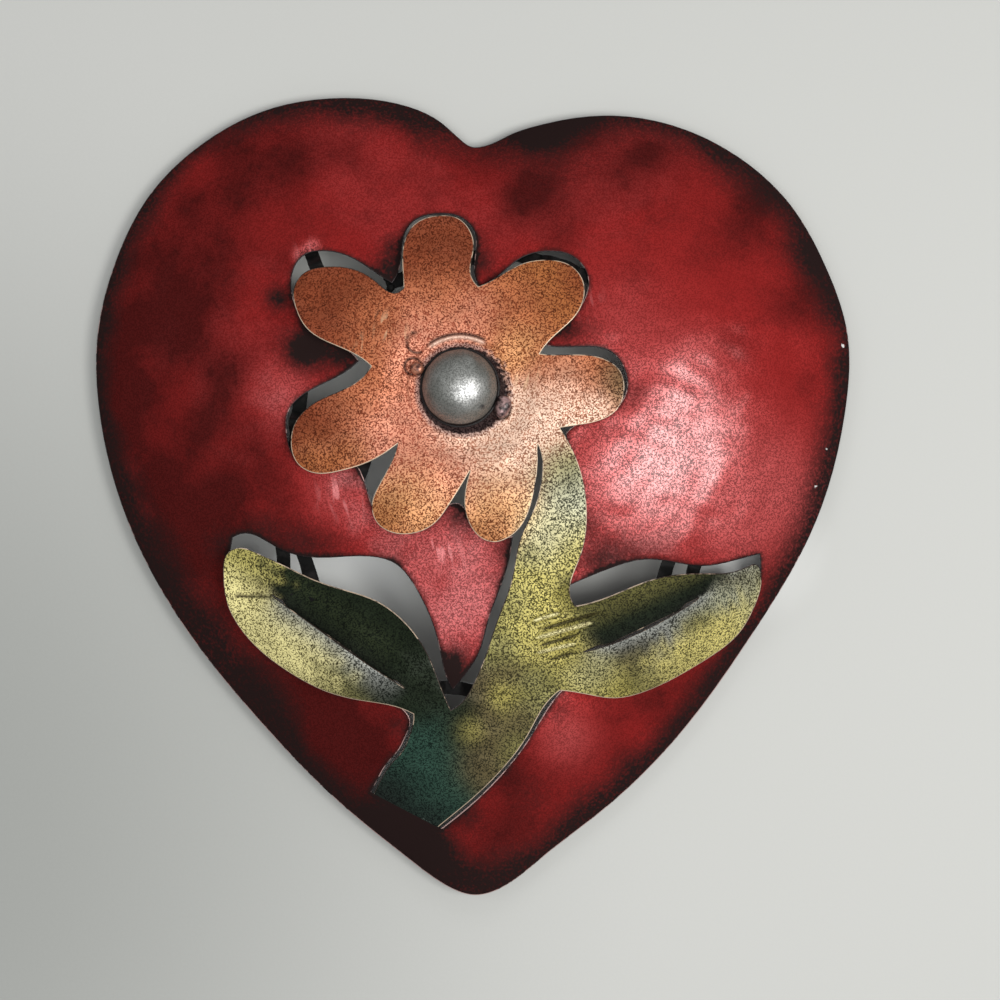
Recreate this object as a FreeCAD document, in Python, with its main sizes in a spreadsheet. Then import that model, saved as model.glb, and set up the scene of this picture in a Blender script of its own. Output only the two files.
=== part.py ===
import FreeCAD, Part
import math
import os
import Sketcher
from FreeCAD import Vector

# A painted sheet-steel heart for a wall. A flower with a stem and two leaves is cut out of the
# heart's own sheet, bent forward from its uncut foot and held from behind by short black straps.
# Frame: +X right, +Z up, the front looks along -Y, the wall is on the +Y side. The origin is the
# middle of the hanging hole on the back face of the hanger bar.

os.makedirs("parts", exist_ok=True)
doc = FreeCAD.newDocument("TinHeart")
sizes = doc.addObject("Spreadsheet::Sheet", "Sizes")

SIZE_ROWS = [
    ("heart_width", 284.0, "heart, widest, left to right"),
    ("heart_height", 300.0, "heart, lobe top to tip"),
    ("dome_depth", 30.0, "crown of the heart in front of the wall"),
    ("sheet_gauge", 1.0, "sheet steel, measured front to back"),
    ("rim_dress", 0.5, "taken off the back of the rim so that it lies flat on the wall"),
    ("kerf_width", 1.3, "slit between the spray's foot and the heart"),
    ("spray_lift", 5.0, "flower and leaves in front of the heart's own dome"),
    ("lift_run", 50.0, "length from the foot over which the spray rises"),
    ("petal_crown", 1.4, "middle of a petal above its edges"),
    ("petal_spread", 10.0, "sideways reach of a petal's crown"),
    ("petal_root", 22.0, "distance from the flower's middle where the petals begin to crown"),
    ("petal_full", 45.0, "distance from the flower's middle where they are fully crowned"),
    ("seat_recess", 2.0, "flat round seat of the cap below the petals"),
    ("seat_margin", 6.0, "seat outside the cap, all round"),
    ("seat_ramp", 8.0, "slope from the seat up to the petals"),
    ("leaf_crest", 6.0, "ridge of a leaf above its base level"),
    ("leaf_drop", 3.2, "lower edge of a leaf below its base level"),
    ("leaf_back_drop", 12.5, "upper edge of a leaf below its ridge"),
    ("slit_width", 1.8, "slit along a leaf's ridge, at its middle"),
    ("strap_width", 5.0, "support strap"),
    ("strap_gauge", 1.2, "support strap"),
    ("strap_bend", 5.0, "length in which a strap steps from the heart to the spray"),
    ("strap_clear", 0.6, "room between a strap's step and the edge of the heart"),
    ("seat_gap", 0.25, "paint and weld between two pieces that are tacked together"),
    ("cap_radius", 15.0, "round cap in the flower's middle"),
    ("cap_height", 12.5, "cap, seat to top"),
    ("cap_wall", 1.0, "cap's sheet"),
    ("tack_radius", 2.6, "tack weld beside the cap"),
    ("bar_width", 12.0, "hanger bar"),
    ("bar_gauge", 1.5, "hanger bar"),
    ("bar_length", 72.0, "hanger bar, end to end"),
    ("hook_room", 3.0, "room for a hook's tip between the bar and the heart"),
    ("wall_gap", 3.0, "hanger bar off the wall"),
    ("hole_radius", 4.0, "hanging hole"),
    ("cut_reach", 120.0, "overrun of every cutting prism"),
    ("grid_pitch", 6.0, "spacing of the points that carry the heart's surface"),
    ("fine_pitch", 3.0, "spacing of the points that carry the spray's surface"),
]
for row, (alias, value, note) in enumerate(SIZE_ROWS, start=1):
    sizes.set(f"A{row}", note)
    sizes.set(f"B{row}", str(value))
    sizes.setAlias(f"B{row}", alias)
doc.recompute()


def size(alias):
    return float(getattr(sizes, alias))


# Outlines are shares of the heart's width (across) and height (up), counted from the crown of
# the dome, as seen square on.
HEART_SHARES = [
    (0.001, 0.405), (0.023, 0.410), (0.049, 0.422), (0.081, 0.432), (0.171, 0.445),
    (0.264, 0.432), (0.349, 0.393), (0.418, 0.333), (0.465, 0.255), (0.494, 0.169),
    (0.492, 0.083), (0.447, -0.075), (0.370, -0.202), (0.282, -0.319), (0.166, -0.429),
    (0.090, -0.485), (0.044, -0.519), (0.000, -0.533), (-0.042, -0.519), (-0.090, -0.486),
    (-0.165, -0.429), (-0.282, -0.318), (-0.378, -0.206), (-0.455, -0.076), (-0.499, 0.083),
    (-0.500, 0.172), (-0.477, 0.260), (-0.432, 0.344), (-0.362, 0.409), (-0.276, 0.452),
    (-0.179, 0.467), (-0.099, 0.459), (-0.046, 0.437), (-0.017, 0.413),
]
NOTCH_SHARES = HEART_SHARES[0]

# The uncut foot of the spray runs between the blind ends of the two slits.
FOOT_SHARES = [(-0.136, -0.400), (-0.044, -0.444)]

# Spray, clockwise from the foot, one list for each stretch between two sharp corners.
SPRAY_SHARES = {
    "foot_left": [(-0.120, -0.378), (-0.107, -0.359), (-0.092, -0.342), (-0.083, -0.323),
                  (-0.078, -0.308), (-0.077, -0.295)],
    "left_leaf": [(-0.098, -0.287), (-0.155, -0.277), (-0.211, -0.261), (-0.260, -0.235),
                  (-0.300, -0.197), (-0.319, -0.160), (-0.322, -0.126), (-0.316, -0.102),
                  (-0.299, -0.095), (-0.276, -0.101), (-0.243, -0.115), (-0.203, -0.133),
                  (-0.165, -0.145), (-0.127, -0.157), (-0.089, -0.183), (-0.059, -0.219),
                  (-0.043, -0.256), (-0.029, -0.289)],
    "stem_left": [(-0.017, -0.281), (0.002, -0.252), (0.012, -0.230), (0.029, -0.182),
                  (0.048, -0.131), (0.056, -0.091), (0.063, -0.072), (0.076, -0.047),
                  (0.084, -0.019), (0.086, 0.010), (0.080, 0.029)],
    "petal_bottom_right": [(0.080, 0.003), (0.074, -0.034), (0.058, -0.070), (0.041, -0.083),
                           (0.027, -0.087), (0.011, -0.083), (-0.003, -0.069),
                           (-0.011, -0.045), (-0.009, -0.020), (-0.004, -0.002)],
    "petal_bottom_left": [(-0.015, -0.020), (-0.029, -0.041), (-0.051, -0.067),
                          (-0.076, -0.077), (-0.101, -0.076), (-0.120, -0.065),
                          (-0.127, -0.041), (-0.119, -0.021), (-0.104, 0.005),
                          (-0.095, 0.029)],
    "petal_lower_left": [(-0.133, 0.007), (-0.167, -0.003), (-0.202, -0.005), (-0.221, 0.006),
                         (-0.229, 0.034), (-0.225, 0.052), (-0.200, 0.078), (-0.164, 0.093),
                         (-0.128, 0.121)],
    "petal_upper_left": [(-0.168, 0.144), (-0.209, 0.166), (-0.224, 0.191), (-0.227, 0.216),
                         (-0.215, 0.234), (-0.186, 0.242), (-0.150, 0.238), (-0.123, 0.223),
                         (-0.100, 0.209), (-0.088, 0.215)],
    "petal_top": [(-0.090, 0.247), (-0.088, 0.271), (-0.076, 0.293), (-0.043, 0.305),
                  (-0.020, 0.302), (-0.005, 0.287), (0.000, 0.267), (-0.004, 0.242),
                  (0.006, 0.217)],
    "petal_upper_right": [(0.029, 0.228), (0.061, 0.245), (0.091, 0.250), (0.122, 0.243),
                          (0.138, 0.223), (0.132, 0.187), (0.100, 0.156), (0.083, 0.136)],
    "petal_right": [(0.127, 0.135), (0.164, 0.130), (0.183, 0.117), (0.189, 0.095),
                    (0.180, 0.070), (0.158, 0.057), (0.129, 0.051), (0.108, 0.048)],
    "stem_right": [(0.124, 0.022), (0.138, -0.018), (0.142, -0.055), (0.134, -0.105),
                   (0.121, -0.145), (0.128, -0.164)],
    "right_leaf": [(0.172, -0.153), (0.227, -0.133), (0.292, -0.126), (0.347, -0.121),
                   (0.366, -0.117), (0.373, -0.133), (0.367, -0.165), (0.343, -0.205),
                   (0.297, -0.238), (0.240, -0.266), (0.181, -0.278), (0.135, -0.270),
                   (0.109, -0.266)],
    "foot_right": [(0.088, -0.286), (0.068, -0.321), (0.040, -0.359), (0.000, -0.400)],
}

# Opening in the heart, clockwise from the foot, with the heart's own points between the petals.
OPENING_SHARES = {
    "slit_left": [(-0.125, -0.380), (-0.112, -0.359), (-0.097, -0.342), (-0.088, -0.325),
                  (-0.082, -0.310), (-0.084, -0.299)],
    "leaf_left_low": [(-0.099, -0.285), (-0.156, -0.276), (-0.210, -0.260), (-0.258, -0.233),
                      (-0.297, -0.195), (-0.316, -0.159), (-0.319, -0.127), (-0.315, -0.101),
                      (-0.311, -0.083)],
    "leaf_left_up": [(-0.292, -0.078), (-0.248, -0.097), (-0.192, -0.107), (-0.131, -0.105),
                     (-0.102, -0.112), (-0.072, -0.145), (-0.045, -0.209), (-0.034, -0.253),
                     (-0.027, -0.266)],
    "stem_gap": [(-0.013, -0.250), (0.006, -0.222), (0.019, -0.180), (0.038, -0.131),
                 (0.049, -0.080)],
    "bottom_right": [(0.029, -0.082), (0.012, -0.077), (-0.001, -0.064), (-0.009, -0.050),
                     (-0.019, -0.041)],
    "bottom_left": [(-0.034, -0.044), (-0.053, -0.064), (-0.078, -0.073), (-0.102, -0.072),
                    (-0.118, -0.060), (-0.129, -0.042), (-0.136, -0.020), (-0.141, -0.007)],
    "lower_left": [(-0.154, 0.006), (-0.176, 0.002), (-0.201, 0.000), (-0.219, 0.008),
                   (-0.231, 0.021), (-0.237, 0.043), (-0.236, 0.067), (-0.213, 0.091),
                   (-0.169, 0.112), (-0.145, 0.129)],
    "upper_left": [(-0.169, 0.148), (-0.203, 0.164), (-0.220, 0.183), (-0.230, 0.205),
                   (-0.233, 0.233), (-0.219, 0.258), (-0.189, 0.264), (-0.154, 0.254),
                   (-0.125, 0.236), (-0.104, 0.223)],
    "top": [(-0.093, 0.249), (-0.091, 0.274), (-0.080, 0.299), (-0.044, 0.311),
            (-0.018, 0.307), (-0.001, 0.291), (0.002, 0.266), (0.000, 0.240), (0.008, 0.218)],
    "upper_right": [(0.033, 0.234), (0.063, 0.256), (0.093, 0.263), (0.126, 0.257),
                    (0.145, 0.231), (0.136, 0.197), (0.109, 0.168), (0.090, 0.148)],
    "right": [(0.138, 0.146), (0.174, 0.140), (0.190, 0.121), (0.194, 0.097), (0.182, 0.075),
              (0.162, 0.063), (0.140, 0.057), (0.116, 0.042)],
    "stem_right": [(0.121, 0.020), (0.134, -0.018), (0.138, -0.056), (0.130, -0.104),
                   (0.118, -0.130), (0.111, -0.144)],
    "leaf_right_up": [(0.169, -0.121), (0.221, -0.109), (0.295, -0.118), (0.345, -0.110),
                      (0.372, -0.104)],
    "leaf_right_low": [(0.373, -0.135), (0.363, -0.163), (0.338, -0.201), (0.294, -0.232),
                       (0.237, -0.261), (0.182, -0.273), (0.140, -0.267), (0.116, -0.264)],
    "slit_right": [(0.093, -0.291), (0.072, -0.325), (0.043, -0.363), (0.003, -0.404)],
}

FLOWER_SHARES = (-0.017, 0.096)
PETAL_TIP_SHARES = [
    (-0.047, 0.305), (0.135, 0.235), (0.189, 0.100), (0.030, -0.087),
    (-0.100, -0.077), (-0.228, 0.040), (-0.222, 0.228),
]

# A leaf's ridge from its base to its tip, its slit from end to end, the side of the ridge on
# which its upper half lies, and where beside the ridge the upper half's lean has gone.
LEAVES = [
    {"ridge_shares": [(-0.068, -0.277), (-0.318, -0.106)],
     "slit_shares": [(-0.256, -0.151), (-0.170, -0.203), (-0.087, -0.263)],
     "upper_side": -1, "back_fade_shares": (1.3, 1.8)},
    {"ridge_shares": [(0.112, -0.229), (0.371, -0.119)],
     "slit_shares": [(0.138, -0.219), (0.211, -0.191), (0.286, -0.155)],
     "upper_side": 1, "back_fade_shares": (0.70, 1.05)},
]
FOLD_START_SHARES = (0.02, 0.27)
FOLD_END_SHARES = (0.62, 0.95)

# Straps: the two ends of each one's middle line.
STRAP_SHARES = {
    "strap_upper_left_petal": [(-0.222, 0.289), (-0.190, 0.223)],
    "strap_top_petal": [(-0.112, 0.223), (0.019, 0.262)],
    "strap_upper_right_petal": [(0.039, 0.265), (0.166, 0.226)],
    "strap_lower_left_petal": [(-0.217, 0.117), (-0.231, -0.012)],
    "strap_bottom_left_petal": [(-0.155, -0.031), (-0.127, 0.034)],
    "strap_left_leaf_outer": [(-0.248, -0.076), (-0.238, -0.152)],
    "strap_left_leaf_inner": [(-0.226, -0.082), (-0.198, -0.156)],
    "strap_right_leaf_inner": [(0.258, -0.092), (0.236, -0.146)],
    "strap_right_leaf_outer": [(0.294, -0.094), (0.272, -0.148)],
    "strap_stem": [(-0.066, -0.261), (0.026, -0.268)],
}
# The hanger bar's stretches on the heart, off it and on it again, as shares of its length.
BAR_STOP_SHARES = [(0.0, 0.13, "heart"), (0.33, 0.67, "bar"), (0.87, 1.0, "heart")]
TACK_TURNS = {"cap_tack_left": 156.0, "cap_tack_right": -23.0}

# The dome falls away from its crown with this power of the share of the way to the rim, and
# its sections turn from the softened outline to the true one with the other.
DOME_POWER = 2.5
OUTLINE_POWER = 3
# Half width of the softening, in steps of one turn.
SOFT_TURN = 26
TURN_STEPS = 360
# A leaf's slopes are laid out with across in this share of the heart's proportions. Its lower
# and upper halves are this wide, as shares of the heart's height, and the slopes are held past
# the third share of the width and are gone at the fourth.
LEAF_STRETCH_SHARE = 0.9467
LEAF_REACH_SHARE = 0.08
LEAF_BACK_SHARE = 0.0633
LEAF_HOLD_SHARE = 1.3
LEAF_GONE_SHARE = 1.8

# Numbers of points and pieces that curves and surfaces are made with.
RIM_POINTS = 1440
OUTLINE_PIECES = 12
EDGE_POINTS = 24
LEAST_SPANS = 4
STRAP_ROWS = 31
STRAP_COLUMNS = 4
SCAN_STEPS = 90


def spot(share):
    """Millimetres across and up from the crown."""
    return share[0] * size("heart_width"), share[1] * size("heart_height")


def smooth(value):
    held = min(1.0, max(0.0, value))
    return held * held * (3.0 - 2.0 * held)


def ramp(value, pair):
    return smooth((value - pair[0]) / (pair[1] - pair[0]))


def flat(point):
    """A point of the outline plane, far in front of the heart."""
    return Vector(point[0], -size("cut_reach"), point[1])


def rim_table():
    """Distance from the crown to the heart's outline, one value a degree."""
    curve = Part.BSplineCurve()
    curve.interpolate(Points=[flat(spot(share)) for share in HEART_SHARES], PeriodicFlag=True)
    found = []
    for place in curve.toShape().discretize(Number=RIM_POINTS)[:-1]:
        found.append((math.degrees(math.atan2(place.z, place.x)) % TURN_STEPS,
                      math.hypot(place.x, place.z)))
    found.sort()
    found = [(found[-1][0] - TURN_STEPS, found[-1][1])] + found
    found.append((found[1][0] + TURN_STEPS, found[1][1]))
    table = []
    index = 0
    for turn in range(TURN_STEPS):
        while found[index + 1][0] < turn:
            index += 1
        before, after = found[index], found[index + 1]
        part_way = (turn - before[0]) / (after[0] - before[0])
        table.append(before[1] + part_way * (after[1] - before[1]))
    return table


RIM = rim_table()
SOFT_RIM = [sum(RIM[(turn + step) % TURN_STEPS] * (SOFT_TURN + 1 - abs(step))
                for step in range(-SOFT_TURN, SOFT_TURN + 1)) / (SOFT_TURN + 1) ** 2
            for turn in range(TURN_STEPS)]


def read_turn(table, turn):
    low = int(math.floor(turn))
    part_way = turn - low
    return (table[low % TURN_STEPS] * (1.0 - part_way)
            + table[(low + 1) % TURN_STEPS] * part_way)


def dome(across, up):
    """Height of the heart's dome above its rim. The outline's corners soften towards the
    crown, and past the rim the surface runs on straight."""
    radius = math.hypot(across, up)
    turn = math.degrees(math.atan2(up, across)) % TURN_STEPS
    rim = read_turn(RIM, turn)
    soft = read_turn(SOFT_RIM, turn)
    near_rim = min(1.0, radius / rim) ** OUTLINE_POWER
    share = radius / (soft + (rim - soft) * near_rim)
    if share > 1.0:
        return -size("dome_depth") * DOME_POWER * (share - 1.0)
    return size("dome_depth") * (1.0 - share ** DOME_POWER)


def along_line(point, start, end):
    """Share of the way from start to end, and the distance to the left of that line."""
    run = (end[0] - start[0], end[1] - start[1])
    length = math.hypot(*run)
    off = (point[0] - start[0], point[1] - start[1])
    share = (off[0] * run[0] + off[1] * run[1]) / length ** 2
    aside = (run[0] * off[1] - run[1] * off[0]) / length
    return share, aside


def foot_distance(across, up):
    start, end = spot(FOOT_SHARES[0]), spot(FOOT_SHARES[1])
    share = along_line((across, up), start, end)[0]
    held = min(1.0, max(0.0, share))
    nearest = (start[0] + held * (end[0] - start[0]), start[1] + held * (end[1] - start[1]))
    return math.hypot(across - nearest[0], up - nearest[1])


def petal_rise(across, up):
    """Crown along the middle line of each petal."""
    middle = spot(FLOWER_SHARES)
    away = math.hypot(across - middle[0], up - middle[1])
    grown = ramp(away, (size("petal_root"), size("petal_full")))
    rise = 0.0
    for share in PETAL_TIP_SHARES:
        tip = spot(share)
        way, aside = along_line((across, up), middle, tip)
        if way > 0:
            rise = max(rise, math.exp(-(aside / size("petal_spread")) ** 2))
    return size("petal_crown") * grown * rise


def leaf_rise(across, up):
    """A leaf is folded along its ridge: the lower half bellies out, the upper half leans
    back into the opening. The slopes stretch with the heart, as the outline does."""
    place = (LEAF_STRETCH_SHARE * across / size("heart_width"), up / size("heart_height"))
    rise = 0.0
    for leaf in LEAVES:
        base, tip = [(LEAF_STRETCH_SHARE * share[0], share[1]) for share in leaf["ridge_shares"]]
        way, aside = along_line(place, base, tip)
        aside *= leaf["upper_side"]
        strength = ramp(way, FOLD_START_SHARES) * (1.0 - ramp(way, FOLD_END_SHARES))
        if aside > 0:
            reach = min(aside / LEAF_BACK_SHARE, LEAF_HOLD_SHARE)
            shape = size("leaf_crest") - size("leaf_back_drop") * reach
        else:
            reach = min(-aside / LEAF_REACH_SHARE, LEAF_HOLD_SHARE)
            shape = size("leaf_crest") - (size("leaf_crest") + size("leaf_drop")) * reach ** 2
        span = leaf["back_fade_shares"] if aside > 0 else (LEAF_HOLD_SHARE, LEAF_GONE_SHARE)
        fade = ramp(abs(aside) / LEAF_REACH_SHARE, span)
        rise += strength * shape * (1.0 - fade)
    return rise


def seat_height():
    middle = spot(FLOWER_SHARES)
    return dome(*middle) + size("spray_lift") - size("seat_recess")


def spray_height(across, up):
    """Height of the flower, stem and leaves above the heart's rim."""
    lift = size("spray_lift") * smooth(foot_distance(across, up) / size("lift_run"))
    free = dome(across, up) + lift + petal_rise(across, up) + leaf_rise(across, up)
    middle = spot(FLOWER_SHARES)
    away = math.hypot(across - middle[0], up - middle[1])
    seat_edge = size("cap_radius") + size("seat_margin")
    held = 1.0 - ramp(away, (seat_edge, seat_edge + size("seat_ramp")))
    return free + (seat_height() - free) * held


def back_of(height):
    """Back face of the sheet that stands at this height above the rim."""
    return size("rim_dress") - height


def heart_back(across, up):
    return back_of(dome(across, up))


def spray_back(across, up):
    return back_of(spray_height(across, up))


def hole_drop():
    """Distance of the hanging hole below the notch: the bar's top edge lies where the dome
    leaves room for a hook behind the heart."""
    notch = spot(NOTCH_SHARES)
    need = size("wall_gap") + size("bar_gauge") + size("hook_room")
    step = size("bar_width") / SCAN_STEPS
    drop = step
    while heart_back(notch[0], notch[1] - drop) > -need:
        drop += step
    return drop + size("bar_width") / 2


NOTCH = spot(NOTCH_SHARES)
HOLE = (NOTCH[0], NOTCH[1] - hole_drop())
HOME = Vector(-HOLE[0], size("wall_gap"), -HOLE[1])


def at(across, depth, up):
    """Crown-based place in the part's own frame."""
    return Vector(across, depth, up) + HOME


def feature(name, shape):
    made = doc.addObject("Part::Feature", name)
    made.Shape = shape
    return made


def prism_along_y(name, base, alias):
    made = doc.addObject("Part::Extrusion", name)
    made.Base = base
    made.DirMode = "Custom"
    made.Dir = Vector(0, 1, 0)
    made.Solid = True
    made.setExpression("LengthFwd", "Sizes." + alias)
    return made


def boolean(kind, name, base, tool):
    made = doc.addObject(kind, name)
    made.Base = base
    made.Tool = tool
    return made


def spline_edge(points):
    curve = Part.BSplineCurve()
    curve.interpolate(Points=points)
    return curve.toShape()


def sheet_face(height, low, high, pitch):
    """Front face of a sheet over a rectangle: one smooth surface through a grid of points."""
    counts = [max(LEAST_SPANS, math.ceil((high[axis] - low[axis]) / pitch)) for axis in (0, 1)]
    rows = []
    for i in range(counts[0] + 1):
        across = low[0] + (high[0] - low[0]) * i / counts[0]
        row = []
        for j in range(counts[1] + 1):
            up = low[1] + (high[1] - low[1]) * j / counts[1]
            depth = back_of(height(across, up)) - size("sheet_gauge")
            row.append(at(across, depth, up))
        rows.append(row)
    surface = Part.BSplineSurface()
    surface.interpolate(rows)
    return surface.toShape()


def round_outline(points):
    """Smooth closed outline, in several edges."""
    curve = Part.BSplineCurve()
    curve.interpolate(Points=[flat(point) + HOME for point in points], PeriodicFlag=True)
    first, last = curve.FirstParameter, curve.LastParameter
    marks = [first + (last - first) * index / OUTLINE_PIECES
             for index in range(OUTLINE_PIECES + 1)]
    return Part.Wire([curve.toShape(low, high) for low, high in zip(marks, marks[1:])])


def outline_face(stretches, foot):
    """Closed outline of smooth stretches with sharp corners between them, closed by the
    straight foot."""
    edges = []
    corner = foot[0]
    for index, shares in enumerate(stretches):
        points = [corner] + [spot(share) for share in shares]
        if index == len(stretches) - 1:
            points.append(foot[1])
        edges.append(spline_edge([flat(point) + HOME for point in points]))
        corner = points[-1]
    edges.append(Part.LineSegment(flat(foot[1]) + HOME, flat(foot[0]) + HOME).toShape())
    return Part.Face(Part.Wire(edges))


def foot_ends(inset):
    """The two ends of the foot's line, each moved in by inset."""
    start, end = spot(FOOT_SHARES[0]), spot(FOOT_SHARES[1])
    length = math.hypot(end[0] - start[0], end[1] - start[1])
    step = ((end[0] - start[0]) * inset / length, (end[1] - start[1]) * inset / length)
    return (start[0] + step[0], start[1] + step[1]), (end[0] - step[0], end[1] - step[1])


def box_of(points, margin):
    acrosses = [point[0] for point in points]
    ups = [point[1] for point in points]
    return ((min(acrosses) - margin, min(ups) - margin),
            (max(acrosses) + margin, max(ups) + margin))


def build_heart_shell():
    """Domed heart with the flower's opening and a rim dressed flat for the wall."""
    points = [spot(share) for share in HEART_SHARES]
    low, high = box_of(points, size("grid_pitch"))
    face = feature("heart_face", sheet_face(dome, low, high, size("grid_pitch")))
    slab = prism_along_y("heart_slab", face, "sheet_gauge")
    blank_face = feature("heart_blank_face", Part.Face(round_outline(points)))
    blank = prism_along_y("heart_blank", blank_face, "cut_reach")
    hole_face = feature("opening_face", outline_face(list(OPENING_SHARES.values()), foot_ends(0)))
    hole = prism_along_y("opening_cutter", hole_face, "cut_reach")
    domed = boolean("Part::Common", "heart_domed", slab, blank)
    pierced = boolean("Part::Cut", "heart_pierced", domed, hole)
    shell = doc.addObject("Part::Cut", "HeartShell")
    shell.Base = pierced
    shell.Tool = wall_cutter()
    shell.Label = "heart_shell"
    return shell


def wall_cutter():
    """Everything behind the wall's plane."""
    box = doc.addObject("Part::Box", "wall_cutter")
    box.setExpression("Length", "2 * Sizes.heart_width")
    box.setExpression("Width", "Sizes.cut_reach")
    box.setExpression("Height", "2 * Sizes.heart_height")
    corner = at(-size("heart_width"), 0, -size("heart_height"))
    box.Placement = FreeCAD.Placement(corner, FreeCAD.Rotation())
    return box


def slit_face(leaf):
    """Lens-shaped slit along a leaf's ridge, between two arcs."""
    start, middle, end = [spot(share) for share in leaf["slit_shares"]]
    length = math.hypot(end[0] - start[0], end[1] - start[1])
    normal = (-(end[1] - start[1]) / length, (end[0] - start[0]) / length)
    half = size("slit_width") / 2
    edges = []
    for side in (half, -half):
        bulge = (middle[0] + normal[0] * side, middle[1] + normal[1] * side)
        arc = Part.Arc(flat(start) + HOME, flat(bulge) + HOME, flat(end) + HOME)
        edges.append(arc.toShape())
    return Part.Face(Part.Wire(edges))


def build_flower_spray():
    """Flower, stem and two folded leaves, one sheet, meeting the heart at the foot."""
    points = [spot(share) for shares in SPRAY_SHARES.values() for share in shares]
    points += list(foot_ends(0))
    low, high = box_of(points, size("grid_pitch"))
    face = feature("spray_face", sheet_face(spray_height, low, high, size("fine_pitch")))
    slab = prism_along_y("spray_slab", face, "sheet_gauge")
    ends = foot_ends(size("kerf_width"))
    blank_face = feature("spray_blank_face", outline_face(list(SPRAY_SHARES.values()), ends))
    blank = prism_along_y("spray_blank", blank_face, "cut_reach")
    cut = boolean("Part::Common", "spray_cut_out", slab, blank)
    slits = []
    for index, leaf in enumerate(LEAVES):
        slit = feature(f"slit_face_{index}", slit_face(leaf))
        slits.append(prism_along_y(f"slit_cutter_{index}", slit, "cut_reach"))
    half_slit = boolean("Part::Cut", "spray_one_slit", cut, slits[0])
    spray = boolean("Part::Cut", "FlowerSpray", half_slit, slits[1])
    spray.Label = "flower_spray"
    return spray


def carrier_back(kind, across, up, gauge):
    """Where the front face of a strap lies on what carries it."""
    if kind == "heart":
        return heart_back(across, up) + size("seat_gap")
    if kind == "spray":
        return spray_back(across, up) + size("seat_gap")
    return -size("wall_gap") - gauge


def strap_solid(ends, stops, width, gauge):
    """Flat strip bent to lie on one carrier after another."""
    start, end = ends
    length = math.hypot(end[0] - start[0], end[1] - start[1])
    run = ((end[0] - start[0]) / length, (end[1] - start[1]) / length)
    rows = []
    for i in range(STRAP_ROWS):
        share = i / (STRAP_ROWS - 1)
        row = []
        for j in range(STRAP_COLUMNS):
            aside = width * (j / (STRAP_COLUMNS - 1) - 0.5)
            across = start[0] + run[0] * share * length - run[1] * aside
            up = start[1] + run[1] * share * length + run[0] * aside
            depth = carrier_back(stops[0][2], across, up, gauge)
            for before, after in zip(stops, stops[1:]):
                way = ramp(share, (before[1], after[0]))
                depth += way * (carrier_back(after[2], across, up, gauge)
                                - carrier_back(before[2], across, up, gauge))
            row.append(at(across, depth, up))
        rows.append(row)
    surface = Part.BSplineSurface()
    surface.interpolate(rows)
    return surface.toShape().extrude(Vector(0, gauge, 0))


def inside(point, ring):
    """Whether a point lies within a closed ring of points."""
    hit = False
    for before, after in zip(ring, ring[1:] + ring[:1]):
        if (before[1] > point[1]) != (after[1] > point[1]):
            part_way = (point[1] - before[1]) / (after[1] - before[1])
            if point[0] < before[0] + part_way * (after[0] - before[0]):
                hit = not hit
    return hit


def ring_of(face):
    """Outline of a flat face as crown-based points."""
    ring = []
    for edge in face.OuterWire.OrderedEdges:
        places = edge.discretize(Number=EDGE_POINTS)
        if edge.Orientation == "Reversed":
            places.reverse()
        ring += [(place.x - HOME.x, place.z - HOME.z) for place in places[:-1]]
    return ring


def strap_stops(ends, opening):
    """A strap lies on the heart wherever any of its width is behind the heart, and against
    the spray elsewhere, less the length in which it steps from one to the other."""
    start, end = ends
    length = math.hypot(end[0] - start[0], end[1] - start[1])
    run = ((end[0] - start[0]) / length, (end[1] - start[1]) / length)
    half = size("strap_width") / 2 + size("strap_clear")
    pieces = []
    for step in range(SCAN_STEPS + 1):
        share = step / SCAN_STEPS
        carrier = "spray"
        for aside in (-half, 0, half):
            across = start[0] + run[0] * share * length - run[1] * aside
            up = start[1] + run[1] * share * length + run[0] * aside
            if not inside((across, up), opening):
                carrier = "heart"
        if pieces and pieces[-1][2] == carrier:
            pieces[-1][1] = share
        else:
            pieces.append([share, share, carrier])
    step_share = size("strap_bend") / length
    for index, piece in enumerate(pieces):
        if piece[2] == "heart":
            continue
        middle = (piece[0] + piece[1]) / 2
        if index > 0:
            piece[0] = min(piece[0] + step_share, middle)
        if index < len(pieces) - 1:
            piece[1] = max(piece[1] - step_share, middle)
    return pieces


def build_straps():
    made = []
    opening = ring_of(doc.getObject("opening_face").Shape.Faces[0])
    for name, shares in STRAP_SHARES.items():
        ends = [spot(share) for share in shares]
        stops = strap_stops(ends, opening)
        solid = strap_solid(ends, stops, size("strap_width"), size("strap_gauge"))
        piece = feature(name, solid)
        piece.Label = name
        made.append(piece)
    return made


def build_hanger_bar():
    """Hat-shaped bar behind the notch: both ends on the heart, a hole in its flat middle."""
    half = size("bar_length") / 2
    ends = ((HOLE[0] - half, HOLE[1]), (HOLE[0] + half, HOLE[1]))
    solid = strap_solid(ends, BAR_STOP_SHARES, size("bar_width"), size("bar_gauge"))
    blank = feature("bar_blank", solid)
    drill = doc.addObject("Part::Cylinder", "bar_drill")
    drill.setExpression("Radius", "Sizes.hole_radius")
    drill.setExpression("Height", "4 * Sizes.bar_gauge")
    drill.Placement = FreeCAD.Placement(Vector(0, 2 * size("bar_gauge"), 0),
                                        FreeCAD.Rotation(Vector(1, 0, 0), 90))
    bar = boolean("Part::Cut", "HangerBar", blank, drill)
    bar.Label = "hanger_bar"
    return bar


def cap_sphere_radius():
    return (size("cap_radius") ** 2 + size("cap_height") ** 2) / (2 * size("cap_height"))


def cap_seat():
    """Middle of the cap's seat on the flower's front face."""
    middle = spot(FLOWER_SHARES)
    depth = back_of(seat_height()) - size("sheet_gauge") - size("seat_gap")
    return at(middle[0], depth, middle[1])


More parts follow.
